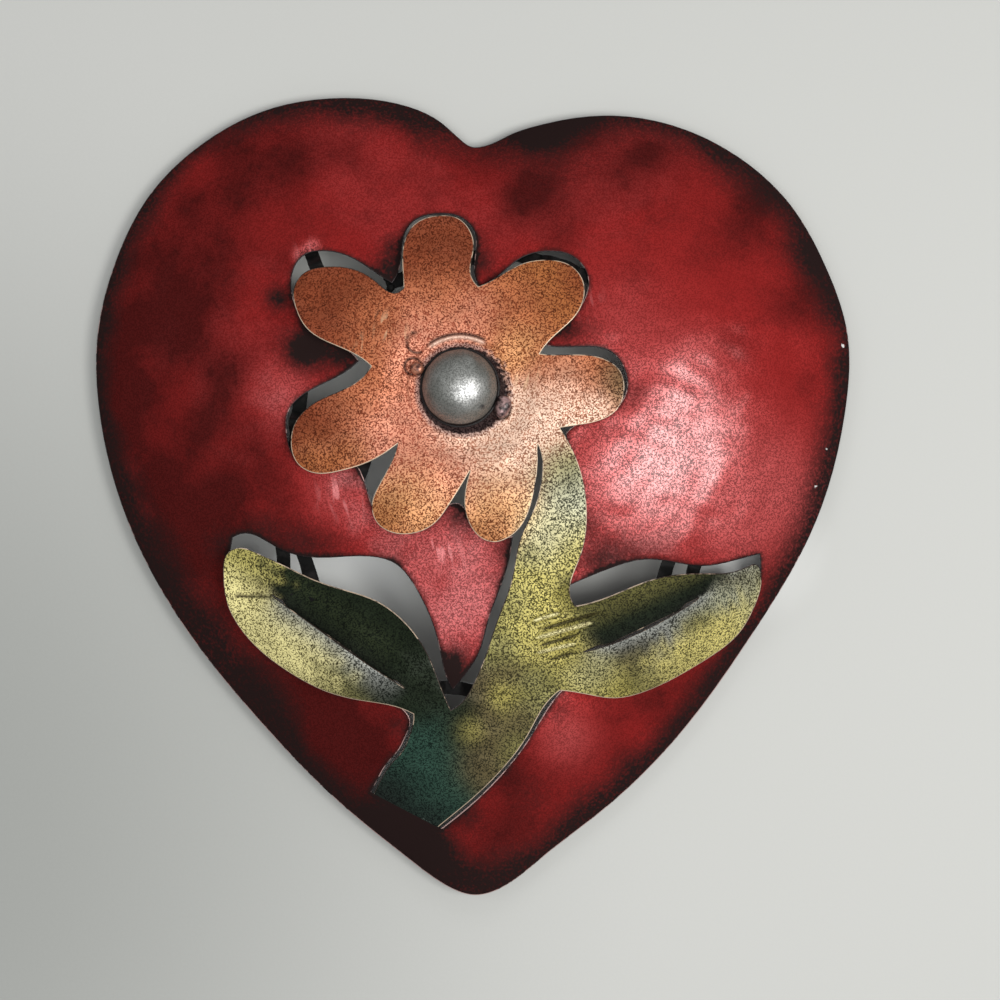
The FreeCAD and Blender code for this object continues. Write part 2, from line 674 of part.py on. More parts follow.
def build_centre_cap():
    """Hollow round cap, a spun bowl with its open side on the flower."""
    body = doc.addObject("PartDesign::Body", "CentreCap")
    sketch = body.newObject("Sketcher::SketchObject", "CapProfile")
    plane = [item for item in body.Origin.OriginFeatures if item.Role == "XY_Plane"][0]
    sketch.AttachmentSupport = [(plane, "")]
    sketch.MapMode = "FlatFace"
    ball = cap_sphere_radius()
    wall = size("cap_wall")
    centre = Vector(0, ball - size("cap_height"), 0)
    inner_rim = math.sqrt((ball - wall) ** 2 - centre.y ** 2)
    outer_turn = math.atan2(-centre.y, size("cap_radius"))
    inner_turn = math.atan2(-centre.y, inner_rim)
    down = -math.pi / 2
    normal = Vector(0, 0, 1)
    outer = sketch.addGeometry(
        Part.ArcOfCircle(Part.Circle(centre, normal, ball), down, outer_turn), False)
    inner = sketch.addGeometry(
        Part.ArcOfCircle(Part.Circle(centre, normal, ball - wall), down, inner_turn), False)
    rim = sketch.addGeometry(
        Part.LineSegment(Vector(size("cap_radius"), 0, 0), Vector(inner_rim, 0, 0)), False)
    top = sketch.addGeometry(
        Part.LineSegment(Vector(0, -size("cap_height"), 0),
                         Vector(0, wall - size("cap_height"), 0)), False)
    tie = Sketcher.Constraint
    sketch.addConstraint(tie("Coincident", outer, 2, rim, 1))
    sketch.addConstraint(tie("Coincident", inner, 2, rim, 2))
    sketch.addConstraint(tie("Coincident", outer, 1, top, 1))
    sketch.addConstraint(tie("Coincident", inner, 1, top, 2))
    sketch.addConstraint(tie("Coincident", outer, 3, inner, 3))
    sketch.addConstraint(tie("PointOnObject", outer, 3, -2))
    sketch.addConstraint(tie("PointOnObject", rim, 1, -1))
    sketch.addConstraint(tie("PointOnObject", rim, 2, -1))
    sketch.addConstraint(tie("PointOnObject", top, 1, -2))
    sketch.addConstraint(tie("PointOnObject", top, 2, -2))
    named = [("rim_radius", tie("DistanceX", -1, 1, rim, 1, size("cap_radius")), "cap_radius"),
             ("height", tie("DistanceY", top, 1, -1, 1, size("cap_height")), "cap_height"),
             ("wall", tie("DistanceY", top, 1, top, 2, wall), "cap_wall")]
    for name, constraint, alias in named:
        index = sketch.addConstraint(constraint)
        sketch.renameConstraint(index, name)
        sketch.setExpression("Constraints." + name, "Sizes." + alias)
    turned = body.newObject("PartDesign::Revolution", "CapTurned")
    turned.Profile = sketch
    turned.ReferenceAxis = (sketch, ["V_Axis"])
    turned.Angle = 360
    body.Placement = FreeCAD.Placement(cap_seat(), FreeCAD.Rotation())
    body.Label = "centre_cap"
    return body


def build_cap_tacks():
    """Two drops of weld at the cap's edge, flat on the flower and hollowed by the cap."""
    seat = cap_seat()
    made = []
    for name, turn in TACK_TURNS.items():
        away = size("cap_radius") + size("tack_radius") / 2
        place = seat + Vector(away * math.cos(math.radians(turn)), 0,
                              away * math.sin(math.radians(turn)))
        drop = doc.addObject("Part::Sphere", name + "_drop")
        drop.setExpression("Radius", "Sizes.tack_radius")
        drop.Placement = FreeCAD.Placement(place, FreeCAD.Rotation())
        clear = doc.addObject("Part::Sphere", name + "_clear")
        clear.Radius = cap_sphere_radius() + size("seat_gap")
        ball_middle = seat + Vector(0, cap_sphere_radius() - size("cap_height"), 0)
        clear.Placement = FreeCAD.Placement(ball_middle, FreeCAD.Rotation())
        under = doc.addObject("Part::Box", name + "_under")
        for side in ("Length", "Width", "Height"):
            under.setExpression(side, "4 * Sizes.tack_radius")
        reach = 2 * size("tack_radius")
        under.Placement = FreeCAD.Placement(place - Vector(reach, 0, reach), FreeCAD.Rotation())
        hollowed = boolean("Part::Cut", name + "_hollowed", drop, clear)
        tack = boolean("Part::Cut", name, hollowed, under)
        tack.Label = name
        made.append(tack)
    return made


def write_parts(pieces):
    doc.recompute()
    for item in doc.Objects:
        if "Invalid" in item.State or "Error" in item.State:
            raise RuntimeError(f"{item.Name} did not build: {item.State}")
    for piece in pieces:
        shape = piece.Shape
        if shape.isNull() or not shape.isValid() or not shape.Solids:
            raise RuntimeError(f"{piece.Label} has no sound solid")
    for piece in pieces:
        piece.Shape.exportStep(f"parts/{piece.Label}.step")
        print(piece.Label, len(piece.Shape.Solids), round(piece.Shape.Volume, 1))


def main():
    pieces = [build_heart_shell(), build_flower_spray(), build_centre_cap()]
    pieces += build_cap_tacks()
    pieces += build_straps()
    pieces.append(build_hanger_bar())
    write_parts(pieces)


main()
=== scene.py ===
import math

import bpy
import numpy as np
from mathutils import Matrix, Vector
from mathutils.geometry import delaunay_2d_cdt
from mathutils.kdtree import KDTree


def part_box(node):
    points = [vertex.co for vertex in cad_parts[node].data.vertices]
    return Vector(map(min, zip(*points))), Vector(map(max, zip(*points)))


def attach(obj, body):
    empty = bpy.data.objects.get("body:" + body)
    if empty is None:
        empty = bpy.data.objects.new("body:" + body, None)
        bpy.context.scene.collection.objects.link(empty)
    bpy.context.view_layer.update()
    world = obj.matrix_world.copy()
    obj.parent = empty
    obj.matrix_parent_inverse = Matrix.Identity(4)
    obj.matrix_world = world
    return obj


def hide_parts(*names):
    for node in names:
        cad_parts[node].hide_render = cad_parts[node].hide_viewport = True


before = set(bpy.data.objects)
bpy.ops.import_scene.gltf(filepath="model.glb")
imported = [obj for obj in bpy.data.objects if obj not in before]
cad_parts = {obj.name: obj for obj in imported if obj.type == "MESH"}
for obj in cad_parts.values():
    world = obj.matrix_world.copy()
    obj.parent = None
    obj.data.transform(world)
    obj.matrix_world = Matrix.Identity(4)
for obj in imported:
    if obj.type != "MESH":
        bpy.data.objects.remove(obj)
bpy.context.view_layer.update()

# A painted sheet-steel heart on a wall. Both sheets are rebuilt with rounded cut edges and a
# hand-worked surface inside the outlines of their CAD solids. Lengths here are millimetres
# until a mesh is made; across and up count from the crown of the heart's dome.
MM = 0.001
WIDTH = 284.0
HEIGHT = 300.0
GAUGE = 1.0
DOME_DEPTH = 30.0
RIM_SLOPE = 75.0
WALL_Y = 3.0
FRONT_Y = 2.5
FLOWER = (-0.017 * WIDTH, 0.096 * HEIGHT)
cap_low, cap_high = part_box("centre_cap")
CROWN = ((cap_low.x + cap_high.x) / 2 / MM - FLOWER[0],
         (cap_low.z + cap_high.z) / 2 / MM - FLOWER[1])

# The photograph's camera: a pixel at the rim plane is PIXEL mm wide.
EYE = (9.13, -597.0, -115.1)
REACH = 600.0
PIXEL = 0.3765


def smooth(value):
    held = np.clip(value, 0.0, 1.0)
    return held * held * (3.0 - 2.0 * held)


def ramp(value, low, high):
    return smooth((value - low) / (high - low))


def window(value, low, full, fade, gone):
    """Up from nought to one, and down again."""
    return ramp(value, low, full) * (1.0 - ramp(value, fade, gone))


def bell(value, width):
    return np.exp(-(value / width) ** 2)


def turn_of(across, up):
    """Degrees round the crown or another middle."""
    return np.degrees(np.arctan2(up, across)) % 360


def spot_px(across, up, rise):
    """Where the camera sees a point of the object, in pixels of the photograph."""
    scale = PIXEL * (REACH - rise) / REACH
    return ((across + CROWN[0] - EYE[0]) / scale + 500.0,
            500.0 - (up + CROWN[1] - EYE[2]) / scale)


# ---- outlines, read from the CAD solids ----

def front_loops(node):
    """Outlines of a sheet's front face, the sheet on the left of each."""
    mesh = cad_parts[node].data
    places = np.empty(len(mesh.vertices) * 3, np.float32)
    mesh.vertices.foreach_get("co", places)
    places, weld = np.unique(places.reshape(-1, 3), axis=0, return_inverse=True)
    places = places.astype(float) / MM
    mesh.calc_loop_triangles()
    corners = np.empty(len(mesh.loop_triangles) * 3, np.int32)
    mesh.loop_triangles.foreach_get("vertices", corners)
    faces = weld.ravel()[corners].reshape(-1, 3)
    a, b, c = (places[faces[:, k]] for k in range(3))
    normal = np.cross(b - a, c - a)
    length = np.linalg.norm(normal, axis=1)
    front = faces[(length > 0) & (normal[:, 1] < -0.25 * length)]
    edges = set(map(tuple, np.concatenate([front[:, [0, 1]], front[:, [1, 2]],
                                           front[:, [2, 0]]]).tolist()))
    follow = {a: b for a, b in edges if (b, a) not in edges}
    loops = []
    while follow:
        start, after = next(iter(follow.items()))
        loop = [start]
        del follow[start]
        while after != start:
            loop.append(after)
            after = follow.pop(after)
        loops.append(places[loop][:, [0, 2]] - np.array(CROWN))
    return sorted(loops, key=len, reverse=True)


def even_loop(loop, longest, shortest=0.12):
    kept = [loop[0]]
    for place in loop[1:]:
        if np.linalg.norm(place - kept[-1]) > shortest:
            kept.append(place)
    out = []
    for place, after in zip(kept, kept[1:] + kept[:1]):
        count = max(1, math.ceil(np.linalg.norm(after - place) / longest))
        out += [place + (after - place) * step / count for step in range(count)]
    return np.array(out)


def inward(loop):
    """Inward mitre of each point of a loop."""
    run = np.roll(loop, -1, axis=0) - loop
    run /= np.linalg.norm(run, axis=1, keepdims=True)
    side = np.stack([-run[:, 1], run[:, 0]], axis=1)
    before = np.roll(side, 1, axis=0)
    both = side + before
    share = 1.0 + np.sum(side * before, axis=1, keepdims=True)
    return both / np.maximum(share, 0.35)


def area_of(loop):
    x, y = loop[:, 0], loop[:, 1]
    return 0.5 * float(np.sum(x * np.roll(y, -1) - np.roll(x, -1) * y))


def inside(loops, points):
    """Whether each point lies on the sheet, by rows of nearly equal height."""
    result = np.zeros(len(points), bool)
    order = np.argsort(points[:, 1])
    for start in range(0, len(order), 2000):
        part = order[start:start + 2000]
        x, y = points[part, 0][:, None], points[part, 1][:, None]
        count = np.zeros(len(part), int)
        for loop in loops:
            x0, y0 = loop[:, 0], loop[:, 1]
            x1, y1 = np.roll(x0, -1), np.roll(y0, -1)
            near = (np.maximum(y0, y1) >= y.min()) & (np.minimum(y0, y1) <= y.max())
            x0, y0, x1, y1 = x0[near], y0[near], x1[near], y1[near]
            hit = (y0 > y) != (y1 > y)
            step = np.where(y1 == y0, 1.0, y1 - y0)
            count += (hit & (x < x0 + (y - y0) / step * (x1 - x0))).sum(axis=1)
        result[part] = count % 2 == 1
    return result


HEART_LOOPS = [even_loop(loop, 0.8) for loop in front_loops("heart_shell")]
SPRAY_LOOPS = [even_loop(loop, 0.7) for loop in front_loops("flower_spray")]
HEART_LOOPS.sort(key=lambda loop: -abs(area_of(loop)))
SPRAY_LOOPS.sort(key=lambda loop: -abs(area_of(loop)))

# ---- heights, the same laws as in the CAD, with the hand-worked surface added ----

TURNS = np.arange(360)
outer = HEART_LOOPS[0]
outer_turn = turn_of(*outer.T)
outer_far = np.hypot(*outer.T)
outer_order = np.argsort(outer_turn)
RIM = np.interp(TURNS, outer_turn[outer_order], outer_far[outer_order], period=360)
SOFT_RIM = sum(np.roll(RIM, step) * (27 - abs(step)) for step in range(-26, 27)) / 27 ** 2

FOOT = [(-0.136 * WIDTH, -0.400 * HEIGHT), (-0.044 * WIDTH, -0.444 * HEIGHT)]
LEAF_STRETCH = 0.9467
PETAL_TIPS = [(-0.047, 0.305), (0.135, 0.235), (0.189, 0.100), (0.030, -0.087),
              (-0.100, -0.077), (-0.228, 0.040), (-0.222, 0.228)]
LEAVES = [
    {"ridge": [(-0.068, -0.277), (-0.318, -0.106)], "upper_side": -1, "step": 4.6,
     "fade": (1.3, 1.8),
     "slit": [(-0.256, -0.151), (-0.170, -0.203), (-0.087, -0.263)]},
    {"ridge": [(0.112, -0.229), (0.371, -0.119)], "upper_side": 1, "step": 2.2,
     "fade": (0.70, 1.05),
     "slit": [(0.138, -0.219), (0.211, -0.191), (0.286, -0.155)]},
]


def along_line(across, up, start, end):
    run = (end[0] - start[0], end[1] - start[1])
    length = math.hypot(*run)
    off = (across - start[0], up - start[1])
    return ((off[0] * run[0] + off[1] * run[1]) / length ** 2,
            (run[0] * off[1] - run[1] * off[0]) / length)


def dome(across, up):
    radius = np.hypot(across, up)
    turn = turn_of(across, up)
    rim = np.interp(turn, TURNS, RIM, period=360)
    soft = np.interp(turn, TURNS, SOFT_RIM, period=360)
    share = radius / (soft + (rim - soft) * np.minimum(1.0, radius / rim) ** 3)
    beyond_rim = -RIM_SLOPE * (share - 1.0)
    return np.where(share > 1.0, beyond_rim, DOME_DEPTH * (1.0 - share ** 2.5))


def foot_distance(across, up):
    share = np.clip(along_line(across, up, *FOOT)[0], 0.0, 1.0)
    return np.hypot(across - FOOT[0][0] - share * (FOOT[1][0] - FOOT[0][0]),
                    up - FOOT[0][1] - share * (FOOT[1][1] - FOOT[0][1]))


def petal_rise(across, up):
    away = np.hypot(across - FLOWER[0], up - FLOWER[1])
    best = np.zeros_like(across)
    for tip in PETAL_TIPS:
        way, aside = along_line(across, up, FLOWER, (tip[0] * WIDTH, tip[1] * HEIGHT))
        best = np.maximum(best, np.where(way > 0, bell(aside, 10.0), 0.0))
    return 1.4 * ramp(away, 22.0, 45.0) * best


def leaf_place(leaf, across, up):
    """Share of the way along a leaf's ridge, and the distance to its upper side in shares
    of the heart's height."""
    base, tip = [(LEAF_STRETCH * s[0], s[1]) for s in leaf["ridge"]]
    way, aside = along_line(LEAF_STRETCH * across / WIDTH, up / HEIGHT, base, tip)
    return way, aside * leaf["upper_side"]


def slit_place(leaf, across, up):
    """Share of the way along a leaf's slit, and the distance above it, towards the upper
    half."""
    start, middle, end = [(s[0] * WIDTH, s[1] * HEIGHT) for s in leaf["slit"]]
    if start[0] > end[0]:
        start, end = end, start
    way, aside = along_line(across, up, start, end)
    mid_way, mid_aside = along_line(middle[0], middle[1], start, end)
    bow = mid_aside / (mid_way * (1.0 - mid_way)) * way * (1.0 - way)
    return way, aside - bow


def leaf_rise(across, up):
    rise = np.zeros_like(across)
    for leaf in LEAVES:
        way, aside = leaf_place(leaf, across, up)
        strength = window(way, 0.02, 0.27, 0.62, 0.95)
        upper = 6.0 - 12.5 * np.minimum(aside / 0.0633, 1.3)
        lower = 6.0 - 9.2 * np.minimum(-aside / 0.08, 1.3) ** 2
        shape = np.where(aside > 0, upper, lower)
        far = np.abs(aside) / 0.08
        fade = np.where(aside > 0, ramp(far, *leaf["fade"]), ramp(far, 1.3, 1.8))
        rise += strength * shape * (1.0 - fade)
    return rise


def slit_window(way):
    return window(way, 0.0, 0.22, 0.8, 1.0)


def slit_step(across, up):
    """The upper half of a leaf is set back behind the lower half's lip along the slit."""
    drop = np.zeros_like(across)
    for leaf in LEAVES:
        way, above = slit_place(leaf, across, up)
        fall = 1.0 - ramp(above, 0.0, 10.0)
        drop += leaf["step"] * slit_window(way) * np.where(above > 0, fall, 0.0)
    return drop


def tuck(spots):
    """The upper half's cut edge slips under the lip of the lower half."""
    shift = np.zeros_like(spots)
    for leaf in LEAVES:
        start, _, end = [np.array([s[0] * WIDTH, s[1] * HEIGHT]) for s in leaf["slit"]]
        run = (end - start) if end[0] > start[0] else (start - end)
        down = np.array([run[1], -run[0]]) / np.linalg.norm(run)
        way, above = slit_place(leaf, spots[:, 0], spots[:, 1])
        free = np.clip((leaf["step"] * slit_window(way) - 1.3) * 1.3, 0.0, 2.3)
        near = np.where((above > 0) & (above < 7), 1.0 - ramp(above, 1.0, 7.0), 0.0)
        shift += (free * near)[:, None] * down
    return shift


def waves(across, up, length, seed):
    """Gentle irregular relief about one unit high, its bumps about a length apart."""
    count = 26
    rng = np.random.default_rng(seed)
    total = np.zeros_like(across)
    for _ in range(count):
        turn = rng.uniform(0, math.tau)
        pitch = math.tau / (length * rng.uniform(0.75, 1.5))
        total += np.sin(pitch * (across * math.cos(turn) + up * math.sin(turn))
                        + rng.uniform(0, math.tau))
    return total / math.sqrt(count / 2)


def hand_work(across, up):
    """Dents of the hand-formed dome, the same on both sheets and gone at the rim."""
    radius = np.hypot(across, up)
    rim = np.interp(turn_of(across, up), TURNS, RIM, period=360)
    inner = 1.0 - ramp(radius / rim, 0.8, 0.99)
    return inner * (0.34 * waves(across, up, 34.0, 3) + 0.07 * waves(across, up, 10.0, 5))


def heart_height(across, up):
    near_curl = bell(across + 62.0, 7.0) * bell(up - 72.0, 6.0)
    return dome(across, up) + hand_work(across, up) + 0.9 * near_curl


def seat_height():
    return float(dome(np.array([FLOWER[0]]), np.array([FLOWER[1]]))[0]) + 3.0


def seat_relief(away, turn):
    """Lip and groove that the weld drew up round the cap."""
    top = 0.55 + 0.45 * np.cos(turn - 1.75)
    lip = 0.75 * top * bell(away - 18.0, 0.55)
    groove = -0.5 * top * bell(away - 19.3, 0.45)
    right = bell(turn - 0.35, 0.55)
    ripple = 0.32 * right * np.sin((away - 15.0) * 3.6 + 2.0 * np.sin(turn * 9.0))
    return lip + groove + ripple * bell(away - 17.4, 2.0)


def crease_height(across, up):
    total = np.zeros_like(across)
    for start, end, high, wide in CREASES:
        way, aside = along_line(across, up, start, end)
        total += high * window(way, -0.15, 0.2, 0.8, 1.15) * bell(aside, wide)
    return total


def ring_share(ring, across, up, width):
    """How much of a round groove lies at a place."""
    middle, reach, start, end, _ = ring
    across, up = across - middle[0], up - middle[1]
    turn = turn_of(across, up)
    return ((turn >= start) & (turn <= end)) * bell(np.hypot(across, up) - reach, width)


def spray_height(across, up):
    lift = 5.0 * smooth(foot_distance(across, up) / 50.0)
    free = dome(across, up) + lift + petal_rise(across, up) + leaf_rise(across, up)
    free = free - slit_step(across, up)
    off_across, off_up = across - FLOWER[0], up - FLOWER[1]
    away = np.hypot(off_across, off_up)
    held = 1.0 - ramp(away, 21.0, 29.0)
    free = free + (seat_height() - free) * held
    free = free + (1.0 - held) * hand_work(across, up)
    wrinkle = crease_height(across, up)
    for ring in RINGS:
        wrinkle += ring[-1] * ring_share(ring, across, up, 0.35)
    return free + wrinkle + seat_relief(away, np.arctan2(off_up, off_across))


def from_px(x, y, rise=28.0):
    """Across and up of the point that the camera sees at a pixel."""
    scale = PIXEL * (REACH - rise) / REACH
    return (x - 500.0) * scale + EYE[0] - CROWN[0], (500.0 - y) * scale + EYE[2] - CROWN[1]


# Round grooves beside the cap: middle in pixels, reach in mm, from turn to turn, height.
RINGS = [(from_px(412.6, 366.0, 34.0), 2.95, 0, 360, -0.5),
         (from_px(417, 342, 34.0), 3.7, 95, 300, -0.4),
         (from_px(501, 409.5, 34.0), 3.2, 0, 360, -0.4)]
# Small creases and ridges: their ends in pixels of the photograph, height and width in mm.
CREASES = [(from_px(*start), from_px(*end), high, wide) for start, end, high, wide in [
    ((532, 620), (560, 612), 0.9, 0.8),
    ((540, 629), (600, 612), -0.9, 0.7),
    ((536, 637), (592, 622), 1.2, 0.8),
    ((540, 645), (578, 634), -0.9, 0.7),
    ((536, 652), (576, 643), 1.0, 0.8),
    ((548, 660), (576, 652), -0.7, 0.7),
    ((232, 597), (276, 598), -0.9, 0.7),
    ((236, 590), (270, 590), 0.4, 1.2),
    ((409, 322), (411, 352), 0.35, 0.5),
    ((526, 362), (531, 386), 0.35, 0.5),
    ((389, 318), (392, 332), 0.3, 0.5),
]]

# Middle of the creases at the right leaf's root, where the mesh is finer.
CRUMPLED = from_px(566, 634)

# ---- meshes ----

# Rounded cut edge, front to back: how far inside the outline, and how deep.
EDGE_ROWS = [(0.30, 0.0), (0.13, 0.04), (0.03, 0.14), (0.0, 0.30), (0.0, 0.70), (0.05, 0.87),
             (0.15, 0.97), (0.30, GAUGE)]
# The first rows have the material of the cut edge, the rest that of the back.
EDGE_LEVELS = 6
FRONT, EDGE, BACK = range(3)


def part_y(height, depth):
    return np.minimum(FRONT_Y - height + depth, WALL_Y)


def linked(name, data):
    made = bpy.data.objects.new(name, data)
    bpy.context.scene.collection.objects.link(made)
    return made


def make_mesh(name, verts, faces, body="root"):
    mesh = bpy.data.meshes.new(name)
    mesh.from_pydata((np.asarray(verts) * MM).tolist(), [], faces)
    mesh.shade_smooth()
    made = linked(name, mesh)
    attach(made, body)
    return made


def set_numbers(made, name, values):
    layer = made.data.attributes.new(name, "FLOAT", "POINT")
    layer.data.foreach_set("value", np.asarray(values, np.float32))


def set_colours(made, name, values):
    layer = made.data.attributes.new(name, "FLOAT_COLOR", "POINT")
    full = np.ones((len(values), 4), np.float32)
    full[:, :3] = values
    layer.data.foreach_set("color", full.ravel())


def laid(spots, x, y):
    """Sum of round soft spots at each place, in pixels."""
    total = np.zeros_like(x)
    for sx, sy, reach, strength in spots:
        total += strength * bell(np.hypot(x - sx, y - sy), reach)
    return total


def tree_of(points):
    tree = KDTree(len(points))
    for index, (x, y) in enumerate(points):
        tree.insert((x, y, 0.0), index)
    tree.balance()
    return tree


def distance_to(points, loop, densest=0.3):
    tree = tree_of(even_loop(loop, densest, 0.0))
    return np.array([tree.find((x, y, 0.0))[2] for x, y in points])


def dotted(low, high, pitch):
    """Points of a triangular grid, slightly scattered."""
    rows = []
    for index, up in enumerate(np.arange(low[1], high[1], pitch * math.sqrt(0.75))):
        across = np.arange(low[0] + (index % 2) * pitch / 2, high[0], pitch)
        rows.append(np.stack([across, np.full_like(across, up)], axis=1))
    grid = np.concatenate(rows)
    rng = np.random.default_rng(11)
    return grid + rng.uniform(-0.12, 0.12, grid.shape) * pitch


def build_sheet(name, node, loops, height, pitch, fine=(), move=None):
    """A sheet with rounded edges inside the loops, with a finer grid inside the fine discs.
    Returns the object, the across and up of its vertices, and their heights."""
    mitres = [inward(loop) for loop in loops]
    free = [smooth(foot_distance(loop[:, 0], loop[:, 1]) / 0.8)[:, None] for loop in loops]
    rims = [loop + mitre * EDGE_ROWS[0][0] * part
            for loop, mitre, part in zip(loops, mitres, free)]
    low, high = loops[0].min(axis=0), loops[0].max(axis=0)
    grid = dotted(low, high, pitch)
    sizes = np.full(len(grid), pitch)
    for middle, reach, finer in fine:
        outside = np.hypot(*(grid - middle).T) > reach
        disc = dotted(np.array(middle) - reach, np.array(middle) + reach, finer)
        disc = disc[np.hypot(*(disc - middle).T) < reach - finer / 2]
        grid = np.concatenate([grid[outside], disc])
        sizes = np.concatenate([sizes[outside], np.full(len(disc), finer)])
    on_sheet = inside(rims, grid)
    grid, sizes = grid[on_sheet], sizes[on_sheet]
    clear = np.min([distance_to(grid, rim) for rim in rims], axis=0)
    grid = grid[clear > 0.55 * sizes]
    flat = np.concatenate(rims + [grid])
    edges, starts, first = [], [], 0
    for rim in rims:
        count = len(rim)
        starts.append(first)
        edges += [(first + k, first + (k + 1) % count) for k in range(count)]
        first += count
    out = delaunay_2d_cdt([Vector(p) for p in flat], edges, [], 0, 1e-5)
    plane = np.array([tuple(p) for p in out[0]])
    where = np.zeros(len(flat), int)
    for index, sources in enumerate(out[3]):
        for source in sources:
            where[source] = index
    faces = np.array(out[2])
    a, b, c = (plane[faces[:, k]] for k in range(3))
    keep = inside(rims, (a + b + c) / 3)
    turned = np.cross(b - a, c - a)
    keep &= np.abs(turned) > 1e-7
    faces[turned < 0] = faces[turned < 0][:, ::-1]
    faces = faces[keep]
    spots, depths, tops, base = [plane], [np.zeros(len(plane))], [], len(plane)
    for inset, depth in EDGE_ROWS[1:-1]:
        for loop, mitre, part in zip(loops, mitres, free):
            spots.append(loop + mitre * inset * part)
            depths.append(np.full(len(loop), depth))
            tops.append(base)
            base += len(loop)
    back = base
    spots = np.concatenate(spots + [plane])
    depths = np.concatenate(depths + [np.full(len(plane), GAUGE)])
    rise = height(spots[:, 0], spots[:, 1])
    seen = spots if move is None else spots + move(spots)
    verts = np.stack([seen[:, 0] + CROWN[0], part_y(rise, depths), seen[:, 1] + CROWN[1]],
                     axis=1)
    polys = faces.tolist() + (faces[:, ::-1] + back).tolist()
    kinds = [FRONT] * len(faces) + [BACK] * len(faces)
    for number, (loop, part) in enumerate(zip(loops, free)):
        size = len(loop)
        front_row = where[starts[number]:starts[number] + size]
        lines = [top + np.arange(size) for top in tops[number::len(loops)]]
        lines = [front_row] + lines + [front_row + back]
        for level, (line, deeper) in enumerate(zip(lines, lines[1:])):
            for k in range(size):
                after = (k + 1) % size
                if part[k, 0] < 0.01 and part[after, 0] < 0.01:
                    continue
                polys.append((line[k], deeper[k], deeper[after], line[after]))
                kinds.append(EDGE if level < EDGE_LEVELS else BACK)
    polys = [[int(v) for v in poly] for poly in polys]
    made = make_mesh(name, verts, polys)
    made.data.polygons.foreach_set("material_index", np.array(kinds, np.int32))
    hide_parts(node)
    return made, spots, rise


heart, heart_spots, heart_rise = build_sheet("heart_sheet", "heart_shell", HEART_LOOPS,
                                             heart_height, 1.6)
spray, spray_spots, spray_rise = build_sheet("spray_sheet", "flower_spray", SPRAY_LOOPS,
                                             spray_height, 1.05,
                                             [(FLOWER, 24.0, 0.42), (CRUMPLED, 14.0, 0.4)], tuck)


def between_rings(rings, steps):
    """Quads between rings of vertices that are numbered ring by ring."""
    return [(a + step, a + (step + 1) % steps, a + steps + (step + 1) % steps, a + steps + step)
            for a in range(0, (rings - 1) * steps, steps) for step in range(steps)]


def fan(first, pole, steps):
    """Triangles from a ring of vertices to a pole."""
    return [(first + step, first + (step + 1) % steps, pole) for step in range(steps)]


def spun(name, rings, steps):
    """A surface of revolution about the line through the flower's middle, from rings of
    radius and y, closed at its top."""
    verts, faces = [], between_rings(len(rings), steps)
    for radius, y in rings:
        for step in range(steps):
            turn = math.tau * step / steps
            across, up = radius * math.cos(turn), radius * math.sin(turn)
            verts.append((FLOWER[0] + CROWN[0] + across, y, FLOWER[1] + CROWN[1] + up))
    verts.append((FLOWER[0] + CROWN[0], rings[-1][1] - 0.02, FLOWER[1] + CROWN[1]))
    faces += fan((len(rings) - 1) * steps, len(verts) - 1, steps)
    return make_mesh(name, verts, faces)


# The cap: a spun bowl on a narrow flange, slightly uneven from the hammer.
SEAT_Y = FRONT_Y - seat_height()
CAP_RADIUS = 13.5
CAP_HEIGHT = 12.2
cap_rings = [(CAP_RADIUS + 0.5, SEAT_Y + 0.1), (CAP_RADIUS + 0.75, SEAT_Y - 0.1),
             (CAP_RADIUS + 0.72, SEAT_Y - 0.42), (CAP_RADIUS + 0.5, SEAT_Y - 0.52),
             (CAP_RADIUS + 0.2, SEAT_Y - 0.56), (CAP_RADIUS + 0.05, SEAT_Y - 0.7)]
CAP_STEPS = 44
for ring_step in range(1, CAP_STEPS):
    ring_turn = math.pi / 2 * ring_step / CAP_STEPS
    cap_rings.append((CAP_RADIUS * math.cos(ring_turn) ** 0.94,
                      SEAT_Y - 0.75 - (CAP_HEIGHT - 0.75) * math.sin(ring_turn) ** 1.02))
cap = spun("cap_dome", cap_rings, 120)
cap_co = np.empty(len(cap.data.vertices) * 3)
cap.data.vertices.foreach_get("co", cap_co)
cap_co = cap_co.reshape(-1, 3) / MM
cap_dent = 0.05 * waves(cap_co[:, 0] + cap_co[:, 1] * 0.6,
                        cap_co[:, 2] - cap_co[:, 1] * 0.4, 6.5, 21)
cap_dent = np.minimum(cap_dent, 0.15)[:, None]
cap_mid = np.array([FLOWER[0] + CROWN[0], SEAT_Y, FLOWER[1] + CROWN[1]])
cap_out = cap_co - cap_mid
cap_far = np.linalg.norm(cap_out, axis=1, keepdims=True)
cap_co += cap_out / cap_far * cap_dent * ramp(-cap_out[:, 1], 0.5, 3.0)[:, None]
cap.data.vertices.foreach_set("co", (cap_co * MM).ravel())
cap_x, cap_y = spot_px(cap_out[:, 0] + FLOWER[0], cap_out[:, 2] + FLOWER[1], FRONT_Y - cap_co[:, 1])
# Painted highlight on the cap: a paler, glossier patch where the lamps' reflections fall.
set_numbers(cap, "cap_highlight", laid([(468.5, 390, 12.5, 1.0)], cap_x, cap_y))
set_numbers(cap, "speck", laid([(482.5, 406.5, 2.6, 1.0)], cap_x, cap_y))
set_numbers(cap, "flange", ramp(np.hypot(cap_out[:, 0], cap_out[:, 2]),
                                CAP_RADIUS - 0.75, CAP_RADIUS + 0.1))
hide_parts("centre_cap")


